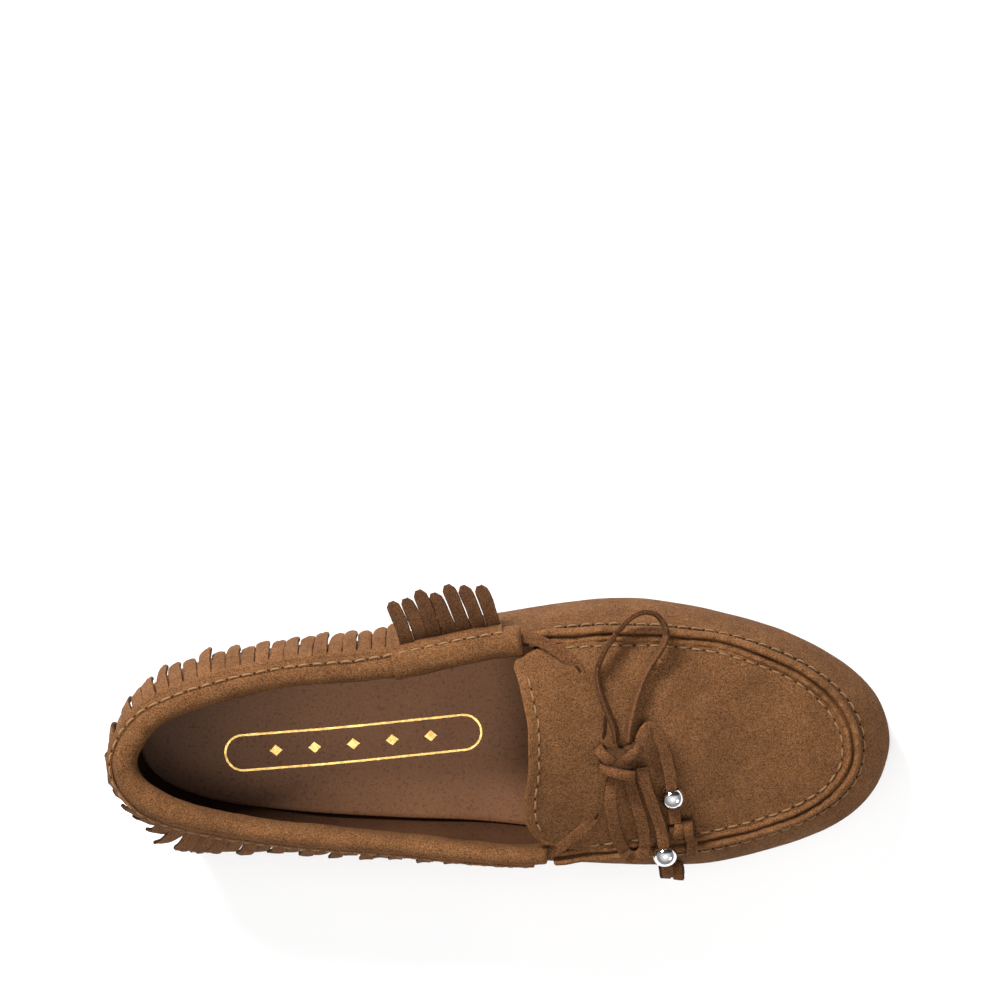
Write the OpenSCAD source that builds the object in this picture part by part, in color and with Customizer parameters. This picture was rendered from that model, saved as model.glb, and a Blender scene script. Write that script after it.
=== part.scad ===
// Left moccasin: a suede upper with an apron toe, a padded collar with a cut fringe under it, and a suede
// thong tied in a bow whose two ends carry a round metal bead each.
// X runs from heel to toe, Y to the outer side of the foot, Z up from the ground under the ball of the foot.

/* [Overall shape] */
// Length of the upper from the heel wall to the toe tip
shoe_length = 255; // [250:1:260]
// How far the feather line is tucked in under the widest line
tuck = 5; // [4:0.5:6]
// Extra waist under the arch of the foot
arch = 3; // [0:0.5:4]
// Rise of the middle of the apron over its seam at the throat
throat_rise = 15; // [12:1:18]

/* [Upper] */
// Thickness of the suede
suede_t = 1.6; // [1.2:0.1:1.7]
// Thickness of the heel counter and the toe puff
stiffener_t = 1; // [0.8:0.1:1.1]
// Thickness of the lining leather
lining_t = 1; // [0.8:0.1:1.2]
// Air between two layers that lie on each other
layer_gap = 0.2; // [0.1:0.05:0.25]
// Width of the suede that is folded in under the board
lasting_margin = 9; // [6:1:12]
// Diameter of the welt in the apron seam
welt_d = 3; // [2.4:0.2:3.4]

/* [Collar] */
// Width of the padded collar
collar_w = 9; // [8.6:0.2:9.6]
// Height of the padded collar
collar_h = 12; // [11:0.5:12.5]
// Diameter of the lace run in the collar
collar_lace_d = 3.4; // [3:0.2:3.6]

/* [Fringe] */
// Number of strands
strands = 62; // [50:1:64]
// Part of a strand's pitch that is suede
strand_fill = 0.88; // [0.8:0.02:0.94]
// Length of a hanging strand
strand_length = 15; // [12:1:17]
// Height of the uncut band that the strands hang from
root_height = 5; // [4:0.5:6]
// Thickness of the fringe
fringe_t = 1.3; // [1:0.1:1.5]

/* [Sole] */
// Thickness of the rubber outsole
outsole_t = 4; // [3:0.5:5]
// Height of the heel lift
heel_height = 6; // [5:0.5:7]
// Thickness of the insole board
board_t = 2; // [1.5:0.5:2.5]
// Thickness of the footbed foam
foam_t = 3; // [2:0.5:4]
// Thickness of the sock leather
sock_t = 1; // [0.8:0.1:1.2]

/* [Foil stamp] */
// Length of the foil border
stamp_length = 86; // [80:1:90]
// Width of the foil border
stamp_width = 12; // [10:0.5:14]
// Width of the foil line
stamp_line = 0.8; // [0.6:0.1:1.2]
// Turn of the stamp from the axis of the shoe
stamp_turn = 4.5; // [0:0.5:6]

/* [Lace] */
// Width of the flat thong
lace_w = 4; // [3.6:0.2:4.2]
// Thickness of the flat thong
lace_t = 1.3; // [1.1:0.1:1.4]
// Diameter of a bead
bead_d = 8; // [7.6:0.2:8.4]
// Diameter of the hole through a bead
bead_bore = 4.6; // [4.6:0.1:5]

/* [Stitching] */
// Distance from one stitch to the next
stitch_pitch = 4.6; // [4:0.2:5]
// Length of a stitch that shows
stitch_length = 3.2; // [2.6:0.2:3.6]
// Diameter of the thread
thread_d = 0.8; // [0.6:0.1:1]

/* [Hidden] */

suede = [0.47, 0.33, 0.21];
lining_brown = [0.39, 0.26, 0.18];
sole_brown = [0.2, 0.13, 0.09];
thread_ochre = [0.66, 0.5, 0.3];
metal = [0.82, 0.82, 0.84];
foil_gold = [0.83, 0.68, 0.35];

base_length = 255;
x_grade = shoe_length / base_length;
stations = 20;
toe = 10;

// The widest line of the upper, station by station: heel, along the outer side to the toe, back inside
widest = [
    [-126, 0, 32], [-119, 17, 31], [-100, 27, 30], [-70, 32, 28], [-35, 36, 26],
    [0, 43, 24], [40, 47.5, 21], [76, 42.5, 19], [106, 31.5, 18], [124.5, 17, 18],
    [131, -1, 18], [125, -19, 18], [109, -31.5, 18], [79, -41, 19], [50, -42.5, 21],
    [5, -38, 24], [-35, -36, 26], [-70, -32, 28], [-100, -26, 30], [-119, -16, 31]];

// The top line of the wall at the same stations: the middle of the collar, then the apron seam in front
top_line = [
    [-122, 0, 58], [-115, 14, 57], [-98, 22, 54], [-70, 28, 50], [-35, 31, 48],
    [0, 38, 49], [38, 40, 44], [71, 37, 39.5], [97, 27.5, 37], [112, 15, 36],
    [117.5, 1, 36], [113.5, -12, 36], [98.5, -22.5, 37], [71, -30, 39.5], [45, -32, 44],
    [8, -34, 49], [-35, -30, 48], [-70, -26, 50], [-98, -20, 54], [-115, -12, 57]];

// Lower face of the outsole from the side, over the length
ground_line = [
    [-140, heel_height], [-60, heel_height], [-45, heel_height * 0.8], [-10, 0], [62, 0],
    [85, 1], [105, 3], [120, 5.5], [140, 9.5]];

// Stations where the pieces of the upper meet, on the outer side; the inner side mirrors them
side_seam = 4.85;
throat_station = 5.15;
collar_end = 5.17;
welt_start = 5.4;
counter_end = 2.4;
puff_start = 8.2;

// Share of the wall height at which pieces end
welt_seat = 0.95;
lining_foot = 0.12;

stiffener_depth = suede_t + layer_gap;
lining_depth = stiffener_depth + stiffener_t + layer_gap;
slab_inset = 2.5;
apron_gap = 2.4;
apron_tip = 0.9;
throat_narrowing = 0.12;
lace_room = 1.7;

function wrap(i) = (i % stations + stations) % stations;
function station(line, i) = let (p = line[wrap(i)]) [p.x * x_grade, p.y, p.z];

// Smooth curve through four points
function blend(a, b, c, d, f) =
    0.5 * (2 * b + (c - a) * f + (2 * a - 5 * b + 4 * c - d) * f * f + (3 * b - a - 3 * c + d) * f * f * f);
function on_line(line, k) =
    let (i = floor(k))
    blend(station(line, i - 1), station(line, i), station(line, i + 1), station(line, i + 2), k - i);

function unit(v) = v / norm(v);
function inward(k) =
    let (t = on_line(widest, k + 0.1) - on_line(widest, k - 0.1)) unit([t.y, -t.x, 0]);
function sole_top(x) = lookup(x / x_grade, ground_line) + outsole_t;
function waist(k) = arch * exp(-pow((wrap(k) - 16) / 1.5, 2));

// Point on the ground plan, inside the widest line
function plan_point(k, inset) =
    let (p = on_line(widest, k) + inward(k) * (inset + waist(k))) [p.x, p.y];
function feather(k, inset = 0) =
    let (p = plan_point(k, tuck + inset)) [p.x, p.y, sole_top(p.x) + layer_gap];

// Direction into the shoe at a share v of the wall height, from the folded margin at v < 0 to the top
function into(k, v) =
    let (tilt = v < 0 ? 90 : lookup(v, [[0, 45], [0.3, 20], [0.5, 0], [1, -30]]))
    inward(k) * cos(tilt) + [0, 0, sin(tilt)];

// Wall of the upper at station k, share v of its height and depth d under the outer face
function wall(k, v, d = 0) =
    let (f = feather(k), w = on_line(widest, k), t = on_line(top_line, k), c = 2 * w - (f + t) / 2)
    (v < 0 ? feather(k, lasting_margin) : (1 - v) * (1 - v) * f + 2 * v * (1 - v) * c + v * v * t)
        + into(k, v) * d;

// Share of the wall height that lies a given drop below the top line
function share_below(k, drop) =
    let (t = on_line(top_line, k).z, w = on_line(widest, k).z, c = 2 * w - (feather(k).z + t) / 2)
    1 - drop / (2 * (t - c));
function seat(k) = share_below(k, collar_h / 2 + 0.5);

// Apron between matching stations of the two sides; c runs from -1 on the inner side to 1 on the outer side
function apron_station(s) = throat_station + (toe - throat_station) * s;
function apron(s, c, d = 0) =
    let (
        k = apron_station(s),
        side = c * (1 - throat_narrowing * pow(max(0, 1 - s / 0.12), 2)),
        p = on_line(top_line, stations - k) * (1 - side) / 2 + on_line(top_line, k) * (1 + side) / 2,
        rise = throat_rise * pow(max(0, (118 * x_grade - p.x) / (109 * x_grade)), 1.3))
    p + [0, 0, rise * (1 - side * side) - d];

// Share of the apron's half width that lies a given distance inside its seam
function share_inside(s, gap) =
    let (
        k = apron_station(s),
        t = unit(on_line(top_line, k + 0.05) - on_line(top_line, k - 0.05)),
        chord = norm(on_line(top_line, k) - on_line(top_line, stations - k)))
    1 - 2 * gap / (abs(t.x) * chord);

function steps(a, b, n) = [for (i = [0:n]) a + (b - a) * i / n];

// Closed sheet between two grids of points with the same rows and columns
module sheet(a, b) {
    rows = len(a);
    cols = len(a[0]);
    function id(layer, r, c) = (layer * rows + r) * cols + c;
    function side(p, q, r, s) = [[p, q, r], [p, r, s]];
    faces = [
        for (r = [0:rows - 2]) for (c = [0:cols - 2]) each concat(
            side(id(0, r, c), id(0, r + 1, c), id(0, r + 1, c + 1), id(0, r, c + 1)),
            side(id(1, r, c), id(1, r, c + 1), id(1, r + 1, c + 1), id(1, r + 1, c))),
        for (r = [0:rows - 2]) each concat(
            side(id(0, r, 0), id(1, r, 0), id(1, r + 1, 0), id(0, r + 1, 0)),
            side(id(0, r, cols - 1), id(0, r + 1, cols - 1), id(1, r + 1, cols - 1), id(1, r, cols - 1))),
        for (c = [0:cols - 2]) each concat(
            side(id(0, 0, c), id(0, 0, c + 1), id(1, 0, c + 1), id(1, 0, c)),
            side(id(0, rows - 1, c), id(1, rows - 1, c), id(1, rows - 1, c + 1), id(0, rows - 1, c + 1)))];
    polyhedron([for (g = [a, b]) for (r = g) each r], faces);
}

// Sheet of the wall between two stations and two depths; its shares go on up to the collar when it is seated
module wall_sheet(k0, k1, n, shares, d0, d1, seated = false) {
    function column(k) = seated ? concat(shares, seat(k)) : shares;
    sheet([for (k = steps(k0, k1, n)) [for (v = column(k)) wall(k, v, d0)]],
        [for (k = steps(k0, k1, n)) [for (v = column(k)) wall(k, v, d1)]]);
}

// Closed tube through rings that all have the same number of points
module tube(rings) {
    m = len(rings[0]);
    n = len(rings);
    faces = [
        for (r = [0:n - 2]) for (i = [0:m - 1]) let (j = (i + 1) % m, a = r * m, b = a + m)
            each [[a + i, b + i, b + j], [a + i, b + j, a + j]],
        for (i = [1:m - 2]) each [[0, i, i + 1], [(n - 1) * m, (n - 1) * m + i + 1, (n - 1) * m + i]]];
    polyhedron([for (r = rings) each r], faces);
}

// Open pipe between two sets of rings
module pipe(outer, inner) {
    m = len(outer[0]);
    n = len(outer);
    function id(layer, r, i) = (layer * n + r) * m + i % m;
    function side(p, q, r, s) = [[p, q, r], [p, r, s]];
    faces = [
        for (r = [0:n - 2]) for (i = [0:m - 1]) each concat(
            side(id(0, r, i), id(0, r + 1, i), id(0, r + 1, i + 1), id(0, r, i + 1)),
            side(id(1, r, i), id(1, r, i + 1), id(1, r + 1, i + 1), id(1, r + 1, i))),
        for (i = [0:m - 1]) each concat(
            side(id(0, 0, i), id(0, 0, i + 1), id(1, 0, i + 1), id(1, 0, i)),
            side(id(0, n - 1, i), id(1, n - 1, i), id(1, n - 1, i + 1), id(0, n - 1, i + 1)))];
    polyhedron([for (g = [outer, inner]) for (r = g) each r], faces);
}

// Smooth route through points chosen by hand, with a given number of parts between two points
function route(p, parts) = [
    for (i = [0:len(p) - 2]) for (f = [0:1 / parts:0.999])
        blend(p[max(0, i - 1)], p[i], p[i + 1], p[min(len(p) - 1, i + 2)], f),
    p[len(p) - 1]];

// Rings of a cord of width w and height h along a route, lying flat on what is below it
function cord_rings(path, w, h, sides = 8) = [
    for (i = [0:len(path) - 1])
        let (
            t = unit(path[min(len(path) - 1, i + 1)] - path[max(0, i - 1)]),
            side = unit(cross(t, [0, 0, 1])),
            up = cross(side, t))
        [for (j = [0:sides - 1]) let (a = 360 * (j + 0.5) / sides)
            path[i] + side * cos(a) * w / 2 + up * sin(a) * h / 2]];

// Routes of the thong, in millimetres
long_loop_route = [
    [38.5, 6.5, 58], [38, 11, 58], [36, 16, 57.8], [33.5, 22.5, 57], [32.5, 29.5, 55.2], [34.5, 35.5, 53],
    [38.5, 41, 50.8], [42.5, 45.5, 49.2], [47, 48, 48.2], [51.5, 47.5, 47.8], [54.5, 44, 47.6],
    [55, 40, 47.8], [53.5, 36.5, 48.6], [51, 32.5, 50.2], [48, 27.5, 52], [45.5, 21.5, 54.2], [44, 16, 55.8],
    [43, 11.5, 56.8], [42.5, 6.5, 57.6]];
short_loop_route = [
    [38, -5.5, 58], [37, -10, 58], [37, -15, 57], [38, -21, 55], [39.5, -27, 52], [42, -32, 49.6],
    [45.2, -34, 48.6], [48.7, -31.5, 48.6], [48.9, -27, 49.8], [47.3, -20.5, 52.2], [45, -13.5, 54.8],
    [42.8, -6, 57.4]];
upper_tail_route = [
    [46.5, 4, 58], [47, 8.5, 57.6], [49.5, 11.5, 56.4], [52.5, 8.5, 55.6], [54.5, 3.5, 55], [55.8, -2, 53.7],
    [56.6, -6, 52.8], [57.3, -13, 51.5], [58, -20, 50.2], [58.4, -22, 49.6]];
lower_tail_route = [
    [47, -1.5, 57.6], [47.8, -6, 56.8], [49.5, -11, 55.4], [51.5, -17, 53], [53.7, -24, 50.2],
    [55.1, -33, 48.4], [55.8, -37.4, 47.5], [56.4, -40.4, 45.2], [56.7, -41.5, 41.5], [56.8, -41.6, 39]];
outer_bridge_route = [
    [8, 40, 48.6], [13, 39.2, 50], [18, 36.8, 51.2], [22, 34, 51.6], [25, 31.2, 51],
    [27.5, 27.5, 51.2], [31, 21, 52], [33, 16, 52.6], [35, 11, 52.8]];
inner_bridge_route = [
    [12.5, -33.8, 48.6], [17, -32, 50.2], [22, -28.6, 51.6], [27, -24.4, 52.8], [30.5, -21, 52],
    [33, -16, 51.8], [34.6, -10, 52.6], [35.2, -5, 53]];
upper_bead = [57.3, -13, 51.5];
lower_bead = [55.1, -33, 48.4];
upper_bead_line = [0.1, -1, -0.186];
lower_bead_line = [0.156, -1, -0.2];
upper_knot_route = [
    [56.4, -25.6, 48.3], [57, -25.5, 48.3], [58.5, -25.4, 48.2], [60.5, -25.2, 48], [62.2, -25.6, 47.8],
    [63.4, -27.2, 47.2], [64, -30, 45.6], [63.8, -34, 44]];
lower_knot_route = [
    [53.6, -41.6, 35.6], [54.2, -41.6, 35.6], [55.6, -41.8, 35.5], [57.4, -41.8, 35.4], [59, -42, 35],
    [60.2, -42.4, 33.8], [60.8, -42.8, 31.5], [60.8, -43, 28]];
bow_centre = [39.5, 0.8, 58.7];

// Turns the Z axis onto a direction
module aim(direction) {
    d = unit(direction);
    rotate([0, acos(d.z), atan2(d.y, d.x)]) children();
}

// Solid that follows the ground line between two heights above the outsole's upper face
module slab(inset, low, high) {
    outline = [for (k = [0:0.25:stations - 0.25]) plan_point(k, inset)];
    side_profile = concat(
        [for (p = ground_line) [p.x * x_grade, p.y + outsole_t + low]],
        [for (i = [len(ground_line) - 1:-1:0])
            [ground_line[i].x * x_grade, ground_line[i].y + outsole_t + high]]);
    intersection() {
        linear_extrude(60) polygon(outline);
        rotate([90, 0, 0]) linear_extrude(160, center = true) polygon(side_profile);
    }
}

module outsole() color(sole_brown) slab(tuck + 0.3, -outsole_t, 0);

module heel_lift() color(sole_brown) intersection() {
    linear_extrude(heel_height) polygon([for (k = [0:0.25:stations - 0.25]) plan_point(k, tuck + 0.8)]);
    translate([-130, -60, 0]) cube([70, 120, heel_height]);
}

board_low = layer_gap * 2 + suede_t;
foam_low = board_low + board_t;
sock_low = foam_low + foam_t;
sock_high = sock_low + sock_t;
module insole_board() color("tan") slab(tuck + slab_inset, board_low, foam_low);
module footbed_foam() color("gainsboro") slab(tuck + slab_inset, foam_low, sock_low);
module sock_lining() color(lining_brown) slab(tuck + slab_inset, sock_low, sock_high);

// Foil border with round ends and a row of plain lozenges, on the level heel seat of the sock
stamp_centre = [-48.5, -2, 0];
module stamp_outline(grow) {
    half = (stamp_length - stamp_width) / 2;
    for (x = [-half, half]) translate([x, 0]) circle(stamp_width / 2 + grow, $fn = 40);
    square([2 * half, stamp_width + 2 * grow], center = true);
}
module foil_stamp() color(foil_gold)
    intersection() {
        translate(stamp_centre) rotate([0, 0, stamp_turn]) linear_extrude(60) {
            difference() {
                stamp_outline(0);
                stamp_outline(-stamp_line);
            }
            for (i = [-2:2]) translate([i * 13, 0]) rotate([0, 0, 45]) square(3, center = true);
        }
        slab(tuck + slab_inset, sock_high, sock_high + 0.2);
    }

// Upper
low_shares = [-1, 0, 0.08, 0.2, 0.35, 0.5, 0.65, 0.78];
module vamp() color(suede)
    sheet(
        [for (k = steps(side_seam, stations - side_seam, 46))
            [for (v = concat(low_shares, vamp_top(k))) wall(k, v)]],
        [for (k = steps(side_seam, stations - side_seam, 46))
            [for (v = concat(low_shares, vamp_top(k))) wall(k, v, suede_t)]]);
function vamp_top(k) =
    let (f = lookup(abs(k - toe), [[toe - welt_start, 1], [toe - welt_start + 0.2, 0]]))
    welt_seat * f + seat(k) * (1 - f);

module quarter(k0, k1) color(suede)
    wall_sheet(k0, k1, 18, low_shares, 0, suede_t, true);
module quarter_outer() quarter(0.02, side_seam - 0.02);
module quarter_inner() quarter(stations - side_seam + 0.02, stations - 0.02);

module heel_counter() color("beige")
    wall_sheet(-counter_end, counter_end, 20, [0.16, 0.3, 0.45, 0.6, 0.74],
        stiffener_depth, stiffener_depth + stiffener_t);
module toe_puff() color("beige")
    wall_sheet(puff_start, stations - puff_start, 16, [0.16, 0.35, 0.55, 0.75, 0.9],
        stiffener_depth, stiffener_depth + stiffener_t);

lining_shares = [lining_foot, 0.25, 0.4, 0.55, 0.7];
module quarter_lining() color(lining_brown)
    wall_sheet(-side_seam + 0.02, side_seam - 0.02, 34, lining_shares,
        lining_depth, lining_depth + lining_t, true);

// Lining of the front: up the wall on one side, under the apron and down the other side
function lining_arch(s, d) = let (k = apron_station(s), lift = [0, 0, -suede_t - layer_gap - lace_room - d])
    concat(
        [for (v = [lining_foot, 0.3, 0.5, 0.7]) wall(k, v, lining_depth + d)],
        [for (c = [0.78:-0.26:-0.79]) apron(s, c) + lift],
        [for (v = [0.7, 0.5, 0.3, lining_foot]) wall(stations - k, v, lining_depth + d)]);
module vamp_lining() color(lining_brown)
    sheet([for (s = steps(0.03, 0.8, 16)) lining_arch(s, 0)],
        [for (s = steps(0.03, 0.8, 16)) lining_arch(s, lining_t)]);

function apron_rows(d) = [
    for (s = steps(0, apron_tip, 22)) let (edge = share_inside(s, apron_gap))
        [for (c = steps(-edge, edge, 12)) apron(s, c, d)]];
module apron_piece() color(suede) sheet(apron_rows(0), apron_rows(suede_t));

function ring_at(line, k, a, b, sides) = [
    for (j = [0:sides - 1]) let (t = 360 * j / sides)
        on_line(line, k) - inward(k) * cos(t) * a + [0, 0, sin(t) * b]];
module apron_welt() color(suede)
    tube([for (k = steps(welt_start, stations - welt_start, 60))
        ring_at(top_line, k, welt_d / 2, welt_d / 2, 8)]);

// Collar, from its inner front end round the heel to its outer front end
collar_steps = steps(stations - collar_end, stations + collar_end, 56);
cover_t = 1.1;
foam_a = collar_w / 2 - cover_t - layer_gap;
foam_b = collar_h / 2 - cover_t - layer_gap;
tunnel_r = collar_lace_d / 2 + 0.3;
function collar_rings(a, b) = [for (k = collar_steps) ring_at(top_line, k, a, b, 10)];
module collar_cover() color(suede)
    pipe(collar_rings(collar_w / 2, collar_h / 2),
        collar_rings(collar_w / 2 - cover_t, collar_h / 2 - cover_t));
module collar_foam() color("gainsboro") pipe(collar_rings(foam_a, foam_b), collar_rings(tunnel_r, tunnel_r));
module collar_lace() color(suede)
    tube([for (k = collar_steps) ring_at(top_line, k, collar_lace_d / 2, collar_lace_d / 2, 8)]);

// Fringe: an uncut band sewn to the side of the collar, with strands that hang down the wall. The tips stand
// off more on the inner side, and the strands near the outer front end stand away from the shoe.
fringe_start = stations - 5.1;
fringe_end = stations + 5.05;
seam_drop = 1;
tip_drop = seam_drop + root_height + strand_length;
function flare(k) = lookup(k, [
    [stations - 5.1, 0.5], [stations - 4, 2], [stations - 3, 3.5], [stations - 2, 8.5], [stations - 1, 5],
    [stations, 0.8], [stations + 5, 1]]);
function lifted(k) = lookup(k, [
    [stations + 3.85, 0], [stations + 3.95, 0.9], [stations + 4.9, 1], [stations + 5.05, 0.7]]);
function fringe_point(k, row, d) =
    let (
        f = max(0, row - 1) / 3,
        drop = seam_drop + root_height * min(1, row),
        band = on_line(top_line, k) - inward(k) * (collar_w / 2 + layer_gap + d) - [0, 0, drop],
        tip = wall(k, share_below(k, tip_drop), -layer_gap - d) - inward(k) * flare(k),
        up = band - inward(k) * f * strand_length - [0, 0, 4 * f * f])
    (band * (1 - f) + tip * f) * (1 - lifted(k)) + up * lifted(k);
module fringe() {
    cols = 2 * strands;
    rows = 5;
    band = running([for (k = steps(fringe_start, fringe_end, 100)) on_line(top_line, k)]);
    function strand_station(u) = fringe_start + (fringe_end - fringe_start) / 100
        * lookup(u / strands * band[len(band) - 1][0], band);
    ks = [for (i = [0:strands - 1]) each [strand_station(i), strand_station(i + strand_fill)]];
    function id(layer, c, r) = (layer * cols + c) * rows + r;
    function side(p, q, r, s) = [[p, q, r], [p, r, s]];
    points = [for (d = [fringe_t, 0]) for (k = ks) for (r = [0:rows - 1]) fringe_point(k, r, d)];
    cells = [for (c = [0:cols - 2]) for (r = [0:rows - 2]) if (r == 0 || c % 2 == 0) [c, r]];
    faces = [for (e = cells) let (c = e[0], r = e[1], strand = c % 2 == 0) each concat(
        side(id(0, c, r), id(0, c, r + 1), id(0, c + 1, r + 1), id(0, c + 1, r)),
        side(id(1, c, r), id(1, c + 1, r), id(1, c + 1, r + 1), id(1, c, r + 1)),
        r == 0 ? side(id(0, c, 0), id(0, c + 1, 0), id(1, c + 1, 0), id(1, c, 0)) : [],
        (r == rows - 2 || (r == 0 && !strand))
            ? side(id(0, c, r + 1), id(1, c, r + 1), id(1, c + 1, r + 1), id(0, c + 1, r + 1)) : [],
        (c == 0 || r > 0) ? side(id(0, c, r), id(1, c, r), id(1, c, r + 1), id(0, c, r + 1)) : [],
        (c == cols - 2 || r > 0)
            ? side(id(0, c + 1, r), id(0, c + 1, r + 1), id(1, c + 1, r + 1), id(1, c + 1, r)) : [])];
    color(suede) polyhedron(points, faces);
}

// Thong
module cord(points, w, h, parts = 3) color(suede) tube(cord_rings(route(points, parts), w, h));
module lace_bridge_outer() cord(outer_bridge_route, lace_w, lace_t, 2);
module lace_bridge_inner() cord(inner_bridge_route, lace_w, lace_t, 2);
module lace_long_loop() cord(long_loop_route, lace_w, lace_w, 1);
module lace_short_loop() cord(short_loop_route, lace_w, lace_w, 1);
module lace_upper_tail() cord(upper_tail_route, lace_w, lace_w, 1);
module lace_lower_tail() cord(lower_tail_route, lace_w, lace_w, 1);

// Round-ended body along a route, with its own half width and half height at each point
module swelling(path, halves) color(suede)
    tube([for (i = [0:len(path) - 1])
        let (
            t = unit(path[min(len(path) - 1, i + 1)] - path[max(0, i - 1)]),
            side = unit(cross(t, [0, 0.3, 1])),
            up = cross(side, t))
        [for (j = [0:9]) path[i] + side * cos(36 * j) * halves[i].x + up * sin(36 * j) * halves[i].y]]);

module bow_knot()
    swelling(
        [for (x = [-7, -6, -3.5, 0, 3.5, 6, 7]) bow_centre + [x, 0, 0]],
        [[1.5, 1.5], [3.5, 2.8], [4.8, 3.2], [5.8, 3.3], [4.8, 3.2], [3.5, 2.8], [1.5, 1.5]]);

module bead(centre, direction) color(metal)
    translate(centre) aim(direction) difference() {
        sphere(bead_d / 2, $fn = 64);
        cylinder(bead_d + 2, bead_bore / 2, bead_bore / 2, center = true, $fn = 48);
    }
module bead_upper() bead(upper_bead, upper_bead_line);
module bead_lower() bead(lower_bead, lower_bead_line);

knot_halves = [
    [1.2, 1.2], [2.4, 2.4], [3.1, 3.1], [3.1, 3.1], [2.4, 2.4], [1.5, 1.5], [1.4, 1.3], [1.4, 1.3]];
module stopper_knot_upper() swelling(upper_knot_route, knot_halves);
module stopper_knot_lower() swelling(lower_knot_route, knot_halves);

// Stitches: one small block each, between two points of a row, standing a little off the surface below it
module stitches(centres, ups) color(thread_ochre) {
    n = len(centres);
    r = thread_d / 2;
    blocks = [for (i = [0:n - 1])
        let (
            t = unit(centres[min(n - 1, i + 1)] - centres[max(0, i - 1)]),
            side = unit(cross(t, ups[i])),
            c = centres[i] + ups[i] * (r + 0.1))
        [for (a = [-1, 1]) for (q = [[-1, -1], [1, -1], [1, 1], [-1, 1]])
            c + t * a * stitch_length / 2 + side * q.x * r + ups[i] * q.y * r]];
    box_faces = [[0, 1, 2], [0, 2, 3], [4, 6, 5], [4, 7, 6], [0, 5, 1], [0, 4, 5],
        [1, 6, 2], [1, 5, 6], [2, 7, 3], [2, 6, 7], [3, 4, 0], [3, 7, 4]];
    polyhedron([for (b = blocks) each b],
        [for (i = [0:n - 1]) for (f = box_faces) [f[2] + 8 * i, f[1] + 8 * i, f[0] + 8 * i]]);
}

// Stations spaced by the stitch pitch along a line
function running(path) = [for (i = 0, t = 0; i < len(path); i = i + 1,
    t = t + (i < len(path) ? norm(path[i] - path[i - 1]) : 0)) [t, i]];
function spaced(path, k0, k1) =
    let (table = running(path), total = table[len(table) - 1][0], n = floor(total / stitch_pitch))
    [for (i = [0:n - 1]) k0 + (k1 - k0) * lookup((i + 0.5) * total / n, table) / (len(path) - 1)];

module vamp_stitches() {
    ks = spaced([for (k = steps(welt_start + 0.05, stations - welt_start - 0.05, 100)) wall(k, 0.9)],
        welt_start + 0.05, stations - welt_start - 0.05);
    stitches([for (k = ks) wall(k, 0.9)], [for (k = ks) -into(k, 1)]);
}
module collar_stitches() {
    k0 = stations - collar_end + 0.03;
    k1 = stations + collar_end - 0.03;
    ks = spaced([for (k = steps(k0, k1, 100)) on_line(top_line, k)], k0, k1);
    low = 8;
    stitches(
        [for (k = ks) on_line(top_line, k)
            - inward(k) * cos(low) * collar_w / 2 + [0, 0, sin(low) * collar_h / 2]],
        [for (k = ks) unit([0, 0, sin(low)] - inward(k) * cos(low))]);
}

// Rows on the apron: one along its edge and round its tip, one across the throat
row_inset = 4;
row_start = 0.08;
row_tip = 0.86;
throat_row = 0.03;
function on_path(path, u) =
    let (i = min(floor(u), len(path) - 2)) path[i] * (1 - u + i) + path[i + 1] * (u - i);
module apron_stitches() {
    tip = share_inside(row_tip, row_inset);
    path = concat(
        [for (s = steps(row_start, row_tip, 50)) apron(s, share_inside(s, row_inset))],
        [for (c = steps(tip, -tip, 6)) apron(row_tip, c)],
        [for (s = steps(row_tip, row_start, 50)) apron(s, -share_inside(s, row_inset))]);
    centres = [for (u = spaced(path, 0, len(path) - 1)) on_path(path, u)];
    stitches(centres, [for (p = centres) unit([0, 0.01 * p.y, 1])]);
}
module throat_stitches() {
    cs = spaced([for (c = steps(-0.86, 0.86, 40)) apron(throat_row, c)], -0.86, 0.86);
    stitches([for (c = cs) apron(throat_row, c)], [for (c = cs) unit([-0.2, 0.5 * c, 1])]);
}

outsole();
heel_lift();
insole_board();
footbed_foam();
sock_lining();
foil_stamp();
vamp();
apron_piece();  // apron
apron_welt();
quarter_outer();
quarter_inner();
vamp_lining();
quarter_lining();
heel_counter();
toe_puff();
collar_cover();
collar_foam();
fringe();
collar_lace();
lace_bridge_outer();
lace_bridge_inner();
lace_long_loop();
lace_short_loop();
lace_upper_tail();
lace_lower_tail();
bow_knot();
bead_upper();
bead_lower();
stopper_knot_upper();
stopper_knot_lower();
apron_stitches();
vamp_stitches();
collar_stitches();
throat_stitches();
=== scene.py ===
"""Looks of the fringed suede moccasin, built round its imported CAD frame.

Shapes are worked out in millimetres in the shoe's own axes (X heel to toe, Y to the outer side, Z up) with
the same curves as part.scad, and become metres when a mesh is made.
"""
import math
import random

import bmesh
import bpy
import numpy as np
from mathutils import Matrix, Vector, noise
from mathutils.bvhtree import BVHTree


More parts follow.
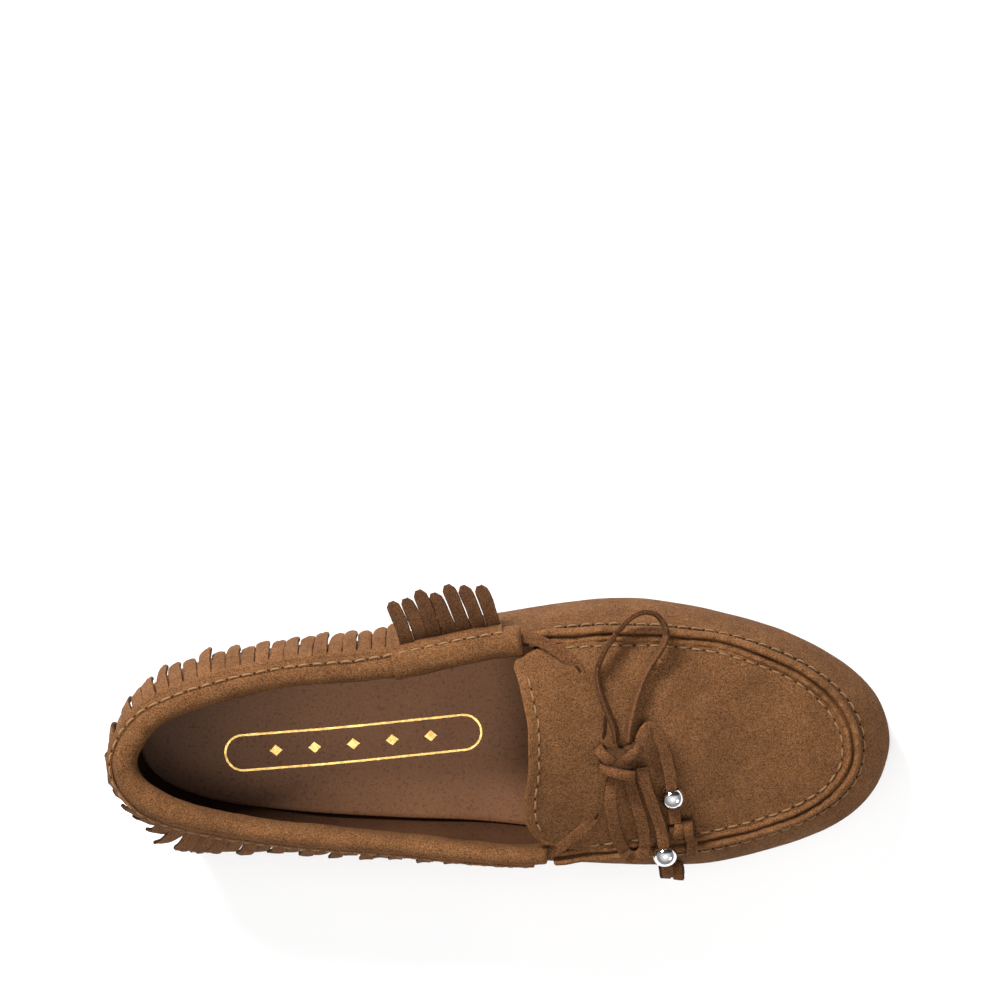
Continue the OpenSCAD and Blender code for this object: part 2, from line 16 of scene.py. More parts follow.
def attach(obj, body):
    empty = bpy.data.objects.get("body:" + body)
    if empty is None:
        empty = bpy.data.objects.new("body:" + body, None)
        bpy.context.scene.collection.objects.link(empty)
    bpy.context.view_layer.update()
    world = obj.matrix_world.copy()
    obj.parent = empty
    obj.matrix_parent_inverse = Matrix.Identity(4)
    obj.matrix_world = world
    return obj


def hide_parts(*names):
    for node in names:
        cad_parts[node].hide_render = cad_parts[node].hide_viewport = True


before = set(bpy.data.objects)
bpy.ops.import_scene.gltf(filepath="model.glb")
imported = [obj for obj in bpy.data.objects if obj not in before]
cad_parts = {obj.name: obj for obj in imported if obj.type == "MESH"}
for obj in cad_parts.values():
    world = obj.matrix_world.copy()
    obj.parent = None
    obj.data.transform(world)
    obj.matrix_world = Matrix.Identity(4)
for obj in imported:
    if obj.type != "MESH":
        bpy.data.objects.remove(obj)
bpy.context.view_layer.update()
MM = 0.001
BODY = "shoe"
rng = random.Random(11)

# ---------------------------------------------------------------- dimensions, in millimetres
STATIONS, TOE = 20, 10
TUCK, ARCH, LAYER_GAP = 5.0, 3.0, 0.2
THROAT_RISE, THROAT_STATION, THROAT_NARROWING = 15.0, 5.15, 0.12
SUEDE_T, OUTSOLE_T, HEEL_H = 1.6, 4.0, 6.0
BOARD_T, FOAM_T, SOCK_T = 2.0, 3.0, 1.0
BOARD_LOW = 2 * LAYER_GAP + SUEDE_T
SOCK_LOW = BOARD_LOW + BOARD_T + FOAM_T
SOCK_TOP = SOCK_LOW + SOCK_T
COLLAR_W, COLLAR_H, COLLAR_END = 9.0, 12.0, 5.17
WELT_START = 5.4
SIDE_SEAM = 4.85
STRANDS, STRAND_L, ROOT_H, FRINGE_T = 62, 15.0, 5.0, 1.3
LACE_W, LACE_T, BEAD_D, BEAD_BORE = 4.0, 1.3, 8.0, 4.6
PITCH, STITCH_L, THREAD_D = 4.6, 3.3, 0.7

WIDEST = np.array([
    (-126, 0, 32), (-119, 17, 31), (-100, 27, 30), (-70, 32, 28), (-35, 36, 26),
    (0, 43, 24), (40, 47.5, 21), (76, 42.5, 19), (106, 31.5, 18), (124.5, 17, 18),
    (131, -1, 18), (125, -19, 18), (109, -31.5, 18), (79, -41, 19), (50, -42.5, 21),
    (5, -38, 24), (-35, -36, 26), (-70, -32, 28), (-100, -26, 30), (-119, -16, 31)], float)
TOP_LINE = np.array([
    (-122, 0, 58), (-115, 14, 57), (-98, 22, 54), (-70, 28, 50), (-35, 31, 48),
    (0, 38, 49), (38, 40, 44), (71, 37, 39.5), (97, 27.5, 37), (112, 15, 36),
    (117.5, 1, 36), (113.5, -12, 36), (98.5, -22.5, 37), (71, -30, 39.5), (45, -32, 44),
    (8, -34, 49), (-35, -30, 48), (-70, -26, 50), (-98, -20, 54), (-115, -12, 57)], float)
GROUND_X = (-140, -60, -45, -10, 62, 85, 105, 120, 140)
GROUND_Z = (HEEL_H, HEEL_H, HEEL_H * 0.8, 0, 0, 1, 3, 5.5, 9.5)

# Routes of the thong, as in part.scad, but the short loop lies up to 0.7 mm further back, clear of the
# lower bead, and the end of the upper tail is spaced more evenly
LONG_LOOP = [
    (38.5, 6.5, 58), (38, 11, 58), (36, 16, 57.8), (33.5, 22.5, 57), (32.5, 29.5, 55.2), (34.5, 35.5, 53),
    (38.5, 41, 50.8), (42.5, 45.5, 49.2), (47, 48, 48.2), (51.5, 47.5, 47.8), (54.5, 44, 47.6),
    (55, 40, 47.8), (53.5, 36.5, 48.6), (51, 32.5, 50.2), (48, 27.5, 52), (45.5, 21.5, 54.2), (44, 16, 55.8),
    (43, 11.5, 56.8), (42.5, 6.5, 57.6)]
SHORT_LOOP = [
    (38, -5.5, 58), (37, -10, 58), (37, -15, 57), (38, -21, 55), (39.5, -27, 52), (42, -32, 49.6),
    (45.2, -34, 48.6), (48.1, -31.7, 48.6), (48.3, -27, 49.8), (47.1, -20.5, 52.2), (45, -13.5, 54.8),
    (42.8, -6, 57.4)]
UPPER_TAIL = [
    (46.5, 4, 58), (47, 8.5, 57.6), (49.5, 11.5, 56.4), (52.5, 8.5, 55.6), (54.5, 3.5, 55), (55.8, -2, 53.7),
    (56.6, -6, 52.8), (57.3, -13, 51.5), (57.9, -17.6, 50.6), (58.4, -22, 49.6)]
LOWER_TAIL = [
    (47, -1.5, 57.6), (47.8, -6, 56.8), (49.5, -11, 55.4), (51.5, -17, 53), (53.7, -24, 50.2),
    (55.1, -33, 48.4), (55.8, -37.4, 47.5), (56.4, -40.4, 45.2), (56.7, -41.5, 41.5), (56.8, -41.6, 39)]
OUTER_BRIDGE = [
    (8, 40, 48.6), (13, 39.2, 50), (18, 36.8, 51.2), (22, 34, 51.6), (25, 31.2, 51),
    (27.5, 27.5, 51.2), (31, 21, 52), (33, 16, 52.6), (35, 11, 52.8)]
INNER_BRIDGE = [
    (12.5, -33.8, 48.6), (17, -32, 50.2), (22, -28.6, 51.6), (27, -24.4, 52.8), (30.5, -21, 52),
    (33, -16, 51.8), (34.6, -10, 52.6), (35.2, -5, 53)]
UPPER_BEAD, UPPER_BEAD_LINE = (57.3, -13, 51.5), (0.1, -1, -0.186)
LOWER_BEAD, LOWER_BEAD_LINE = (55.1, -33, 48.4), (0.156, -1, -0.2)
UPPER_KNOT = [
    (56.4, -25.6, 48.3), (57, -25.5, 48.3), (58.5, -25.4, 48.2), (60.5, -25.2, 48), (62.2, -25.6, 47.8),
    (63.4, -27.2, 47.2), (64, -30, 45.6), (63.8, -34, 44)]
LOWER_KNOT = [
    (53.6, -41.6, 35.6), (54.2, -41.6, 35.6), (55.6, -41.8, 35.5), (57.4, -41.8, 35.4), (59, -42, 35),
    (60.2, -42.4, 33.8), (60.8, -42.8, 31.5), (60.8, -43, 28)]
BOW_CENTRE = np.array((39.5, 0.8, 58.7))
UP = np.array((0.0, 0.0, 1.0))


# ---------------------------------------------------------------- curves and surfaces of the shoe
def unit(v):
    return v / max(np.linalg.norm(v), 1e-9)


def blend4(a, b, c, d, f):
    return 0.5 * (2 * b + (c - a) * f + (2 * a - 5 * b + 4 * c - d) * f**2 + (3 * b - a - 3 * c + d) * f**3)


def on_line(line, k):
    i = math.floor(k)
    return blend4(*(line[(i + j) % STATIONS] for j in (-1, 0, 1, 2)), k - i)


def inward(k):
    t = on_line(WIDEST, k + 0.1) - on_line(WIDEST, k - 0.1)
    return unit(np.array((t[1], -t[0], 0.0)))


def sole_top(x):
    return float(np.interp(x, GROUND_X, GROUND_Z)) + OUTSOLE_T


def waist(k):
    return ARCH * math.exp(-(((k % STATIONS) - 16) / 1.5) ** 2)


def plan_point(k, inset):
    p = on_line(WIDEST, k) + inward(k) * (inset + waist(k))
    return p[0], p[1]


def feather(k, inset=0.0):
    x, y = plan_point(k, TUCK + inset)
    return np.array((x, y, sole_top(x) + LAYER_GAP))


def into(k, v):
    tilt = math.radians(90 if v < 0 else float(np.interp(v, (0, 0.3, 0.5, 1), (45, 20, 0, -30))))
    return inward(k) * math.cos(tilt) + UP * math.sin(tilt)


def wall(k, v, depth=0.0):
    """A point of the wall at station k, share v of its height, a depth under its outer face."""
    f, w, t = feather(k), on_line(WIDEST, k), on_line(TOP_LINE, k)
    c = 2 * w - (f + t) / 2
    p = feather(k, 9.0) if v < 0 else (1 - v) ** 2 * f + 2 * v * (1 - v) * c + v * v * t
    return p + into(k, v) * depth


def share_below(k, drop):
    t, w = on_line(TOP_LINE, k)[2], on_line(WIDEST, k)[2]
    c = 2 * w - (feather(k)[2] + t) / 2
    return 1 - drop / (2 * (t - c))


def apron_point(s, c, depth=0.0):
    """A point of the apron: s runs from the throat to the toe, c from -1 (inner side) to 1 (outer side)."""
    k = THROAT_STATION + (TOE - THROAT_STATION) * s
    side = c * (1 - THROAT_NARROWING * max(0.0, 1 - s / 0.12) ** 2)
    p = on_line(TOP_LINE, STATIONS - k) * (1 - side) / 2 + on_line(TOP_LINE, k) * (1 + side) / 2
    rise = THROAT_RISE * max(0.0, (118 - p[0]) / 109) ** 1.3
    return p + UP * (rise * (1 - side * side) - depth)


def wobble(p, size, amount, seed=0.0):
    """Smooth unevenness at a point, of the given size and amount in millimetres."""
    return amount * noise.noise(Vector((p[0] / size + seed, p[1] / size, p[2] / size)))


def route(points, parts):
    p = [np.array(q, float) for q in points]
    line = []
    for i in range(len(p) - 1):
        around = (p[max(0, i - 1)], p[i], p[i + 1], p[min(len(p) - 1, i + 2)])
        line += [blend4(*around, j / parts) for j in range(parts)]
    return line + [p[-1]]


def spaced(path, step):
    """Points a step apart along a path."""
    path = np.array(path)
    run = np.concatenate(([0], np.cumsum(np.linalg.norm(np.diff(path, axis=0), axis=1))))
    count = max(2, int(run[-1] / step))
    at = (np.arange(count) + 0.5) * run[-1] / count
    return [np.array([np.interp(a, run, path[:, i]) for i in range(3)]) for a in at]


# ---------------------------------------------------------------- mesh making
def add_mesh(name, points, faces, materials, face_materials=None, smooth=True):
    mesh = bpy.data.meshes.new(name)
    mesh.from_pydata([tuple(np.asarray(p) * MM) for p in points], [], faces)
    for m in materials if isinstance(materials, (list, tuple)) else [materials]:
        mesh.materials.append(m)
    if face_materials:
        mesh.polygons.foreach_set("material_index", face_materials)
    mesh.polygons.foreach_set("use_smooth", [smooth] * len(mesh.polygons))
    mesh.update()
    piece = bpy.data.objects.new(name, mesh)
    bpy.context.scene.collection.objects.link(piece)
    return piece


class Shell:
    """Points and faces of one piece, collected from lofted sections."""

    def __init__(self):
        self.points, self.faces, self.marks = [], [], []

    def loft(self, rings, mark=0, round_ends=0.0, ring_closed=False, edges=()):
        rings = [np.asarray(r, float) for r in rings]
        m = len(rings[0])
        mirror = [(-j) % m for j in range(m)]
        if round_ends:
            for end, near in ((0, 1), (-1, -2)):
                out = unit(rings[end].mean(0) - rings[near].mean(0))
                middle = (rings[end] + rings[end][mirror]) / 2
                tips = [middle * f + rings[end] * (1 - f) + out * round_ends * g
                        for f, g in ((0.25, 0.7), (0.7, 1))]
                rings = tips[::-1] + rings if end == 0 else rings + tips
        start = len(self.points)
        self.points += [p for r in rings for p in r]
        n = len(rings)
        for r in range(n if ring_closed else n - 1):
            a, b = start + r * m, start + ((r + 1) % n) * m
            self.faces += [(a + j, a + (j + 1) % m, b + (j + 1) % m, b + j) for j in range(m)]
            self.marks += [1 if j in edges else mark for j in range(m)]
        if not ring_closed:
            for base, flip in ((start, False), (start + (n - 1) * m, True)):
                for j in range(m // 2):
                    quad = [j, (j + 1) % m, (m - j - 1) % m, (m - j) % m]
                    quad = list(dict.fromkeys(quad))
                    face = tuple(base + q for q in (quad if flip else quad[::-1]))
                    self.faces.append(face)
                    self.marks.append(mark)

    def piece(self, name, materials):
        made = add_mesh(name, self.points, self.faces, materials, self.marks)
        fix_normals(made)
        return made


def fix_normals(piece):
    """Turns every closed shell of a piece outwards."""
    bm = bmesh.new()
    bm.from_mesh(piece.data)
    bmesh.ops.recalc_face_normals(bm, faces=bm.faces)
    bm.to_mesh(piece.data)
    bm.free()


def sheet_rings(columns, thickness_edge=0.45):
    """Closed sections of a thick sheet from (outer points, inner points) pairs, with rounded edges."""
    rings = []
    for outer, inner in columns:
        outer, inner = [np.asarray(p) for p in outer], [np.asarray(p) for p in inner]
        thick = np.linalg.norm(outer[-1] - inner[-1])
        top = (outer[-1] + inner[-1]) / 2 + unit(outer[-1] - outer[-2]) * thick * thickness_edge
        low = (outer[0] + inner[0]) / 2 + unit(outer[0] - outer[1]) * thick * thickness_edge
        rings.append([low] + outer + [top] + inner[::-1])
    return rings


STRIP_EDGES = (15, 0, 7, 8)


def strip_rings(path, faces_up, width=LACE_W, thickness=LACE_T, seed=0.0):
    """Sections of a flat thong along a path; faces_up gives where its wide face looks at each point."""
    rings = []
    for i, p in enumerate(path):
        t = unit(path[min(len(path) - 1, i + 1)] - path[max(0, i - 1)])
        up = unit(faces_up[i] - t * np.dot(faces_up[i], t))
        side = np.cross(t, up)
        w = width / 2 * (1 + wobble(p, 4, 0.12, seed))
        h = thickness / 2 * (1 + wobble(p, 3, 0.12, seed + 7))
        curl = wobble(p, 9, 0.35, seed + 3)
        section = [(-1, 0), (-0.97, -0.62), (-0.8, -0.98), (-0.4, -1.04), (0, -1.0), (0.4, -1.04),
                   (0.8, -0.98), (0.97, -0.62), (1, 0), (0.97, 0.62), (0.8, 0.98), (0.4, 1.04), (0, 1.0),
                   (-0.4, 1.04), (-0.8, 0.98), (-0.97, 0.62)]
        rings.append([p + side * a * w + up * (b * h + curl * a * a * 0.5) for a, b in section])
    return rings


def surface_of(*pieces):
    points, faces = [], []
    for piece in pieces:
        start = len(points)
        points += [tuple(v.co) for v in piece.data.vertices]
        faces += [tuple(start + i for i in p.vertices) for p in piece.data.polygons]
    return BVHTree.FromPolygons(points, faces)


def drop_on(tree, x, y):
    """The highest point of a surface under x, y, and its normal."""
    hit, normal, _, _ = tree.ray_cast(Vector((x * MM, y * MM, 0.2)), Vector((0, 0, -1)))
    if hit is None:
        return None, UP
    normal = np.array(normal)
    return np.array(hit) / MM, normal if normal[2] > 0 else -normal


# ---------------------------------------------------------------- materials
def material(name):
    made = bpy.data.materials.new(name)
    made.use_nodes = True
    tree = made.node_tree
    return made, tree, tree.nodes["Principled BSDF"]


def noise_node(tree, scale, detail=6.0, rough=0.6, distortion=0.0):
    node = tree.nodes.new("ShaderNodeTexNoise")
    node.inputs["Scale"].default_value = scale
    node.inputs["Detail"].default_value = detail
    node.inputs["Roughness"].default_value = rough
    node.inputs["Distortion"].default_value = distortion
    coordinates = tree.nodes.new("ShaderNodeTexCoord")
    tree.links.new(coordinates.outputs["Object"], node.inputs["Vector"])
    return node


def ramp(tree, source, stops):
    node = tree.nodes.new("ShaderNodeValToRGB")
    ends = node.color_ramp.elements
    for i, (place, colour) in enumerate(stops):
        e = ends[i] if i < 2 else ends.new(place)
        e.position = place
        e.color = (*colour, 1)
    tree.links.new(source, node.inputs["Fac"])
    return node.outputs["Color"]


def mix(tree, kind, factor, a, b):
    node = tree.nodes.new("ShaderNodeMix")
    node.data_type = "RGBA"
    node.blend_type = kind
    for socket, value in ((node.inputs["Factor"], factor), (node.inputs[6], a), (node.inputs[7], b)):
        if isinstance(value, bpy.types.NodeSocket):
            tree.links.new(value, socket)
        elif isinstance(value, tuple):
            socket.default_value = (*value, 1)
        else:
            socket.default_value = value
    return node.outputs[2]


def bump(tree, shader, layers):
    """Stacks bump layers, each (height socket, strength, distance in metres)."""
    last = None
    for height, strength, distance in layers:
        node = tree.nodes.new("ShaderNodeBump")
        node.inputs["Strength"].default_value = strength
        node.inputs["Distance"].default_value = distance
        tree.links.new(height, node.inputs["Height"])
        if last:
            tree.links.new(last, node.inputs["Normal"])
        last = node.outputs["Normal"]
    tree.links.new(last, shader.inputs["Normal"])


def suede(name, base, light, dark, sheen=0.35):
    """Napped suede: brushed patches, a fine grain of short fibres, pale edges from wear and painted shade
    darkening the creases.
    """
    made, tree, shader = material(name)
    patches = noise_node(tree, 70, 6, 0.7, 0.4)
    nap = noise_node(tree, 620, 4, 0.65)
    fibre = noise_node(tree, 2250, 2, 0.6)
    colour = ramp(tree, patches.outputs["Fac"], [(0.25, dark), (0.5, base), (0.78, light)])
    grain = ramp(tree, nap.outputs["Fac"], [(0.3, (0.86, 0.85, 0.84)), (0.7, (1.12, 1.11, 1.1))])
    colour = mix(tree, "MULTIPLY", 0.8, colour, grain)
    fine = ramp(tree, fibre.outputs["Fac"], [(0.32, (0.36, 0.34, 0.32)), (0.68, (1.66, 1.63, 1.58))])
    colour = mix(tree, "MULTIPLY", 1.0, colour, fine)
    # Pointiness: pale convex edges are wear; the darkening of hollows and creases is painted shade.
    geometry = tree.nodes.new("ShaderNodeNewGeometry")
    painted_shade = ramp(tree, geometry.outputs["Pointiness"],
                [(0.44, (0.45, 0.42, 0.4)), (0.5, (1, 1, 1)), (0.56, (1.3, 1.26, 1.2))])
    colour = mix(tree, "MULTIPLY", 0.8, colour, painted_shade)
    tree.links.new(colour, shader.inputs["Base Color"])
    shader.inputs["Roughness"].default_value = 0.95
    shader.inputs["Specular IOR Level"].default_value = 0.12
    shader.inputs["Sheen Weight"].default_value = sheen
    shader.inputs["Sheen Roughness"].default_value = 0.55
    shader.inputs["Sheen Tint"].default_value = (*light, 1)
    bump(tree, shader, [(patches.outputs["Fac"], 0.25, 0.0009), (nap.outputs["Fac"], 0.4, 0.0004),
                        (fibre.outputs["Fac"], 0.6, 0.0002)])
    return made


def smooth_leather(name, base, dark, roughness):
    """Smooth leather with pores and specks; its darker heel end stands in for the deep shade there."""
    made, tree, shader = material(name)
    cloud = noise_node(tree, 30, 4, 0.6)
    pores = tree.nodes.new("ShaderNodeTexVoronoi")
    pores.inputs["Scale"].default_value = 900
    coordinates = tree.nodes.new("ShaderNodeTexCoord")
    tree.links.new(coordinates.outputs["Object"], pores.inputs["Vector"])
    specks = noise_node(tree, 900, 2, 0.5)
    colour = ramp(tree, cloud.outputs["Fac"], [(0.3, dark), (0.7, base)])
    dots = ramp(tree, specks.outputs["Fac"], [(0.28, (0.4, 0.37, 0.35)), (0.45, (1, 1, 1))])
    colour = mix(tree, "MULTIPLY", 0.6, colour, dots)
    grain = ramp(tree, noise_node(tree, 2400, 2).outputs["Fac"],
                 [(0.3, (0.72, 0.7, 0.68)), (0.7, (1.25, 1.23, 1.2))])
    colour = mix(tree, "MULTIPLY", 0.8, colour, grain)
    # Painted shade: the colour darkens towards the heel end, standing in for the shade inside the heel.
    place = tree.nodes.new("ShaderNodeSeparateXYZ")
    tree.links.new(coordinates.outputs["Object"], place.inputs[0])
    along = tree.nodes.new("ShaderNodeMapRange")
    along.inputs["From Min"].default_value, along.inputs["From Max"].default_value = -0.125, -0.03
    tree.links.new(place.outputs["X"], along.inputs["Value"])
    painted_shade = ramp(tree, along.outputs["Result"], [(0.0, (0.2, 0.18, 0.17)), (1.0, (1, 1, 1))])
    colour = mix(tree, "MULTIPLY", 1.0, colour, painted_shade)
    tree.links.new(colour, shader.inputs["Base Color"])
    shader.inputs["Roughness"].default_value = roughness
    shader.inputs["Specular IOR Level"].default_value = 0.15
    bump(tree, shader, [(cloud.outputs["Fac"], 0.2, 0.0006), (pores.outputs["Distance"], 0.25, 0.00012)])
    return made


def simple(name, base, dark, roughness, scale, metallic=0.0, bump_mm=0.1, specular=0.5):
    made, tree, shader = material(name)
    grain = noise_node(tree, scale, 5, 0.65)
    colour = ramp(tree, grain.outputs["Fac"], [(0.35, dark), (0.65, base)])
    tree.links.new(colour, shader.inputs["Base Color"])
    shader.inputs["Roughness"].default_value = roughness
    shader.inputs["Metallic"].default_value = metallic
    shader.inputs["Specular IOR Level"].default_value = specular
    bump(tree, shader, [(grain.outputs["Fac"], 0.4, bump_mm * MM)])
    return made


def thread_material():
    made, tree, shader = material("thread")
    wave = tree.nodes.new("ShaderNodeTexWave")
    wave.inputs["Scale"].default_value = 900
    wave.inputs["Distortion"].default_value = 2
    coordinates = tree.nodes.new("ShaderNodeTexCoord")
    tree.links.new(coordinates.outputs["Object"], wave.inputs["Vector"])
    colour = ramp(tree, wave.outputs["Fac"], [(0.1, (0.13, 0.066, 0.025)), (0.7, (0.25, 0.135, 0.052))])
    tree.links.new(colour, shader.inputs["Base Color"])
    shader.inputs["Roughness"].default_value = 0.7
    bump(tree, shader, [(wave.outputs["Fac"], 0.5, 0.0001)])
    return made


SUEDE = suede("suede", (0.112, 0.0505, 0.0198), (0.152, 0.071, 0.0295), (0.078, 0.0345, 0.0132), 0.06)
THONG = suede("thong", (0.088, 0.0385, 0.0155), (0.122, 0.055, 0.0235), (0.06, 0.026, 0.0102), 0.06)
# Darker suede: the real colour of the cut edges, and painted shade on the lifted fringe strands and the knot
# cores.
CUT_EDGE_AND_SHADE = suede("cut_edge_and_shade", (0.045, 0.0195, 0.0078), (0.066, 0.029, 0.0122), (0.03, 0.013, 0.0052), 0.05)
LINING = smooth_leather("lining", (0.075, 0.032, 0.0152), (0.055, 0.023, 0.0105), 0.6)
SOCK = smooth_leather("sock", (0.235, 0.107, 0.05), (0.19, 0.086, 0.04), 0.58)
THREAD = thread_material()
# Dark discs and lenses of painted shade, standing in for the shade inside stitch holes and thong cuts.
HOLE_SHADE = simple("stitch_hole_shade", (0.045, 0.019, 0.009), (0.025, 0.01, 0.005), 0.95, 800, specular=0.05)
RUBBER = simple("rubber", (0.045, 0.022, 0.012), (0.03, 0.014, 0.008), 0.65, 260)
BOARD = simple("board", (0.42, 0.27, 0.13), (0.3, 0.19, 0.09), 0.9, 500)
FOAM = simple("foam", (0.62, 0.6, 0.52), (0.5, 0.48, 0.42), 0.95, 900)
METAL = simple("bead_metal", (0.9, 0.89, 0.9), (0.84, 0.83, 0.84), 0.07, 60, 1.0, 0.01)
FOIL = simple("foil", (0.66, 0.44, 0.15), (0.36, 0.22, 0.07), 0.42, 700, 1.0, 0.12)

# ---------------------------------------------------------------- camera, floor and light
VIEW_TILT = math.radians(8.5)
CAMERA_DISTANCE = 1500.0
MM_PER_PIXEL = 0.33
AIM = np.array((0.7, 82.6, 30.0))


def make_camera():
    """Seen from above and a little from the outer side, through a long lens, low in the frame."""
    data = bpy.data.cameras.new("camera")
    data.lens = 36.0 * CAMERA_DISTANCE / (MM_PER_PIXEL * 1000)
    data.clip_end = 20
    camera = bpy.data.objects.new("camera", data)
    bpy.context.scene.collection.objects.link(camera)
    back = Vector((0, math.sin(VIEW_TILT), math.cos(VIEW_TILT)))
    up = Vector((0, math.cos(VIEW_TILT), -math.sin(VIEW_TILT)))
    camera.location = Vector(AIM * MM) + back * CAMERA_DISTANCE * MM
    camera.rotation_mode = "QUATERNION"
    right = up.cross(back)
    camera.rotation_quaternion = Matrix((right, up, back)).transposed().to_quaternion()
    bpy.context.scene.camera = camera


def area_light(name, place, aim_at, size, power, colour=(1, 1, 1)):
    data = bpy.data.lights.new(name, "AREA")
    data.shape = "RECTANGLE"
    data.size, data.size_y = size
    data.energy = power
    data.color = colour
    light = bpy.data.objects.new(name, data)
    bpy.context.scene.collection.objects.link(light)
    light.location = place
    light.rotation_mode = "QUATERNION"
    light.rotation_quaternion = (Vector(aim_at) - Vector(place)).to_track_quat("-Z", "Y")


def make_stage():
    floor_material, tree, shader = material("floor")
    paper = noise_node(tree, 12, 3, 0.5)
    shade = ramp(tree, paper.outputs["Fac"], [(0.3, (0.9, 0.9, 0.9)), (0.7, (0.92, 0.92, 0.92))])
    tree.links.new(shade, shader.inputs["Base Color"])
    shader.inputs["Roughness"].default_value = 0.6
    shader.inputs["Specular IOR Level"].default_value = 0.2
    shader.inputs["Emission Color"].default_value = (1, 1, 1, 1)
    shader.inputs["Emission Strength"].default_value = 0.12
    side = 3000
    floor = add_mesh("floor", [(-side, -side, -0.05), (side, -side, -0.05), (side, side, -0.05),
                               (-side, side, -0.05)], [(0, 1, 2, 3)], floor_material)
    world = bpy.data.worlds.new("studio")
    bpy.context.scene.world = world
    world.use_nodes = True
    tree = world.node_tree
    sky = tree.nodes.new("ShaderNodeTexCoord")
    height = tree.nodes.new("ShaderNodeSeparateXYZ")
    tree.links.new(sky.outputs["Generated"], height.inputs[0])
    sky_up = ramp(tree, height.outputs["Z"], [(0.5, (0.34, 0.34, 0.34)), (0.88, (1, 1, 1))])
    behind = ramp(tree, height.outputs["Y"], [(0.34, (1, 1, 1)), (0.5, (0.12, 0.12, 0.12))])
    shade = mix(tree, "MULTIPLY", 1.0, sky_up, behind)
    tree.links.new(shade, tree.nodes["Background"].inputs["Color"])
    tree.nodes["Background"].inputs["Strength"].default_value = 0.82
    area_light("key", (-0.55, 1.0, 0.8), (0.0, 0.0, 0.03), (0.45, 0.35), 34)
    area_light("top", (0.1, -0.15, 1.4), (0.0, 0.0, 0.03), (0.5, 0.5), 8)
    area_light("fill", (1.0, -0.55, 0.8), (0.0, 0.0, 0.03), (0.5, 0.4), 3)
    bpy.context.scene.view_settings.view_transform = "Standard"


make_camera()
make_stage()


# ---------------------------------------------------------------- upper
def vamp():
    rings = []
    for k in np.linspace(SIDE_SEAM, STATIONS - SIDE_SEAM, 210):
        along_seam = min(1.0, max(0.0, (TOE - COLLAR_END + 0.15 - abs(k - TOE)) / 0.12))
        top = 0.955 * along_seam + share_below(k, COLLAR_H / 2 + 0.5) * (1 - along_seam)
        shares = np.concatenate(([-1], np.linspace(0, 1, 30) ** 0.9 * top))
        outer, inner = [], []
        for v in shares:
            p = wall(k, v)
            dent = 0.45 * math.exp(-(((v - 0.9) * 38) / 0.9) ** 2) * along_seam if v > 0 else 0
            push = wobble(p, 26, 0.5) + wobble(p, 9, 0.16, 5) - dent
            outer.append(p - into(k, v) * push)
            inner.append(wall(k, v, SUEDE_T))
        rings.append((outer, inner))
    shell = Shell()
    shell.loft(sheet_rings(rings), round_ends=0.4)
    return shell.piece("vamp_suede", SUEDE)


# How far the flap's free edge lies in front of the throat line, from the inner to the outer side
FLAP_EDGE = ((-1, 2.5), (-0.88, -0.5), (-0.75, -2.8), (-0.5, -2.8), (-0.15, 0.2), (0.35, 1.8), (0.75, 0.4),
             (1, -1.6))


def throat_shift(s, c):
    """The free edge of the flap: its corners are round, and it reaches back more at the outer corner."""
    fade = max(0.0, 1 - s / 0.16)
    reach = np.interp(c + np.linspace(-0.07, 0.07, 9), *zip(*FLAP_EDGE)).mean()
    return fade * (reach + 1.6 * max(0.0, (abs(c) - 0.88) / 0.085) ** 2)


def apron():
    rings = []
    for s in np.concatenate((np.linspace(0, 0.1, 16), np.linspace(0.108, 0.985, 110))):
        outer, inner = [], []
        for c in np.linspace(-0.965, 0.965, 61):
            shift = np.array((throat_shift(s, c), 0, 0))
            p = apron_point(s, c) + shift
            lip = 0.5 * math.exp(-(s / 0.012) ** 2)
            push = wobble(p, 30, 0.7, 2) + wobble(p, 10, 0.2, 4) + lip
            outer.append(p + UP * push)
            inner.append(apron_point(s, c, SUEDE_T) + shift + UP * push)
        rings.append((outer, inner))
    shell = Shell()
    shell.loft(sheet_rings(rings), round_ends=0.6)
    return shell.piece("apron_suede", SUEDE)


def seam_path(offset, k0, k1, count):
    """Points beside the apron seam; offset is towards the inside of the apron."""
    line = []
    for k in np.linspace(k0, k1, count):
        t = on_line(TOP_LINE, k + 0.05) - on_line(TOP_LINE, k - 0.05)
        line.append(on_line(TOP_LINE, k) + unit(np.array((t[1], -t[0], 0.0))) * offset)
    return line


def welt():
    """The raised seam: two pinched lips of suede, a groove between them and a pucker at each stitch."""
    section = [(-2.5, -1.6), (-2.6, -0.4), (-2.3, 0.9), (-1.65, 1.6), (-1.0, 1.6), (-0.5, 0.9), (-0.15, -0.5),
               (0.15, -0.5), (0.5, 1.1), (1.1, 1.85), (1.9, 1.8), (2.5, 0.9), (2.75, -0.5), (2.6, -1.9),
               (1.2, -2.2), (-1.2, -2.0)]
    rings = []
    path = seam_path(0, WELT_START - 0.12, STATIONS - WELT_START + 0.12, 420)
    run = 0.0
    for i, p in enumerate(path):
        t = unit(path[min(len(path) - 1, i + 1)] - path[max(0, i - 1)])
        run += np.linalg.norm(p - path[i - 1]) if i else 0
        out = np.array((-t[1], t[0], 0.0))
        pucker = 1 + 0.13 * math.cos(2 * math.pi * run / PITCH) + wobble(p, 3, 0.3) + wobble(p, 11, 0.35, 2)
        pucker *= 1 - 0.5 * math.exp(-((p[0] - LOWER_BEAD[0]) / 7) ** 2) * (p[1] < 0)
        sway = wobble(p, 12, 0.6, 9)
        rings.append([p + out * (a * (1 + wobble(p, 7, 0.1, 3)) + sway) + UP * b * pucker
                      for a, b in section])
    shell = Shell()
    shell.loft(rings, round_ends=0.8)
    return shell.piece("apron_seam", SUEDE)


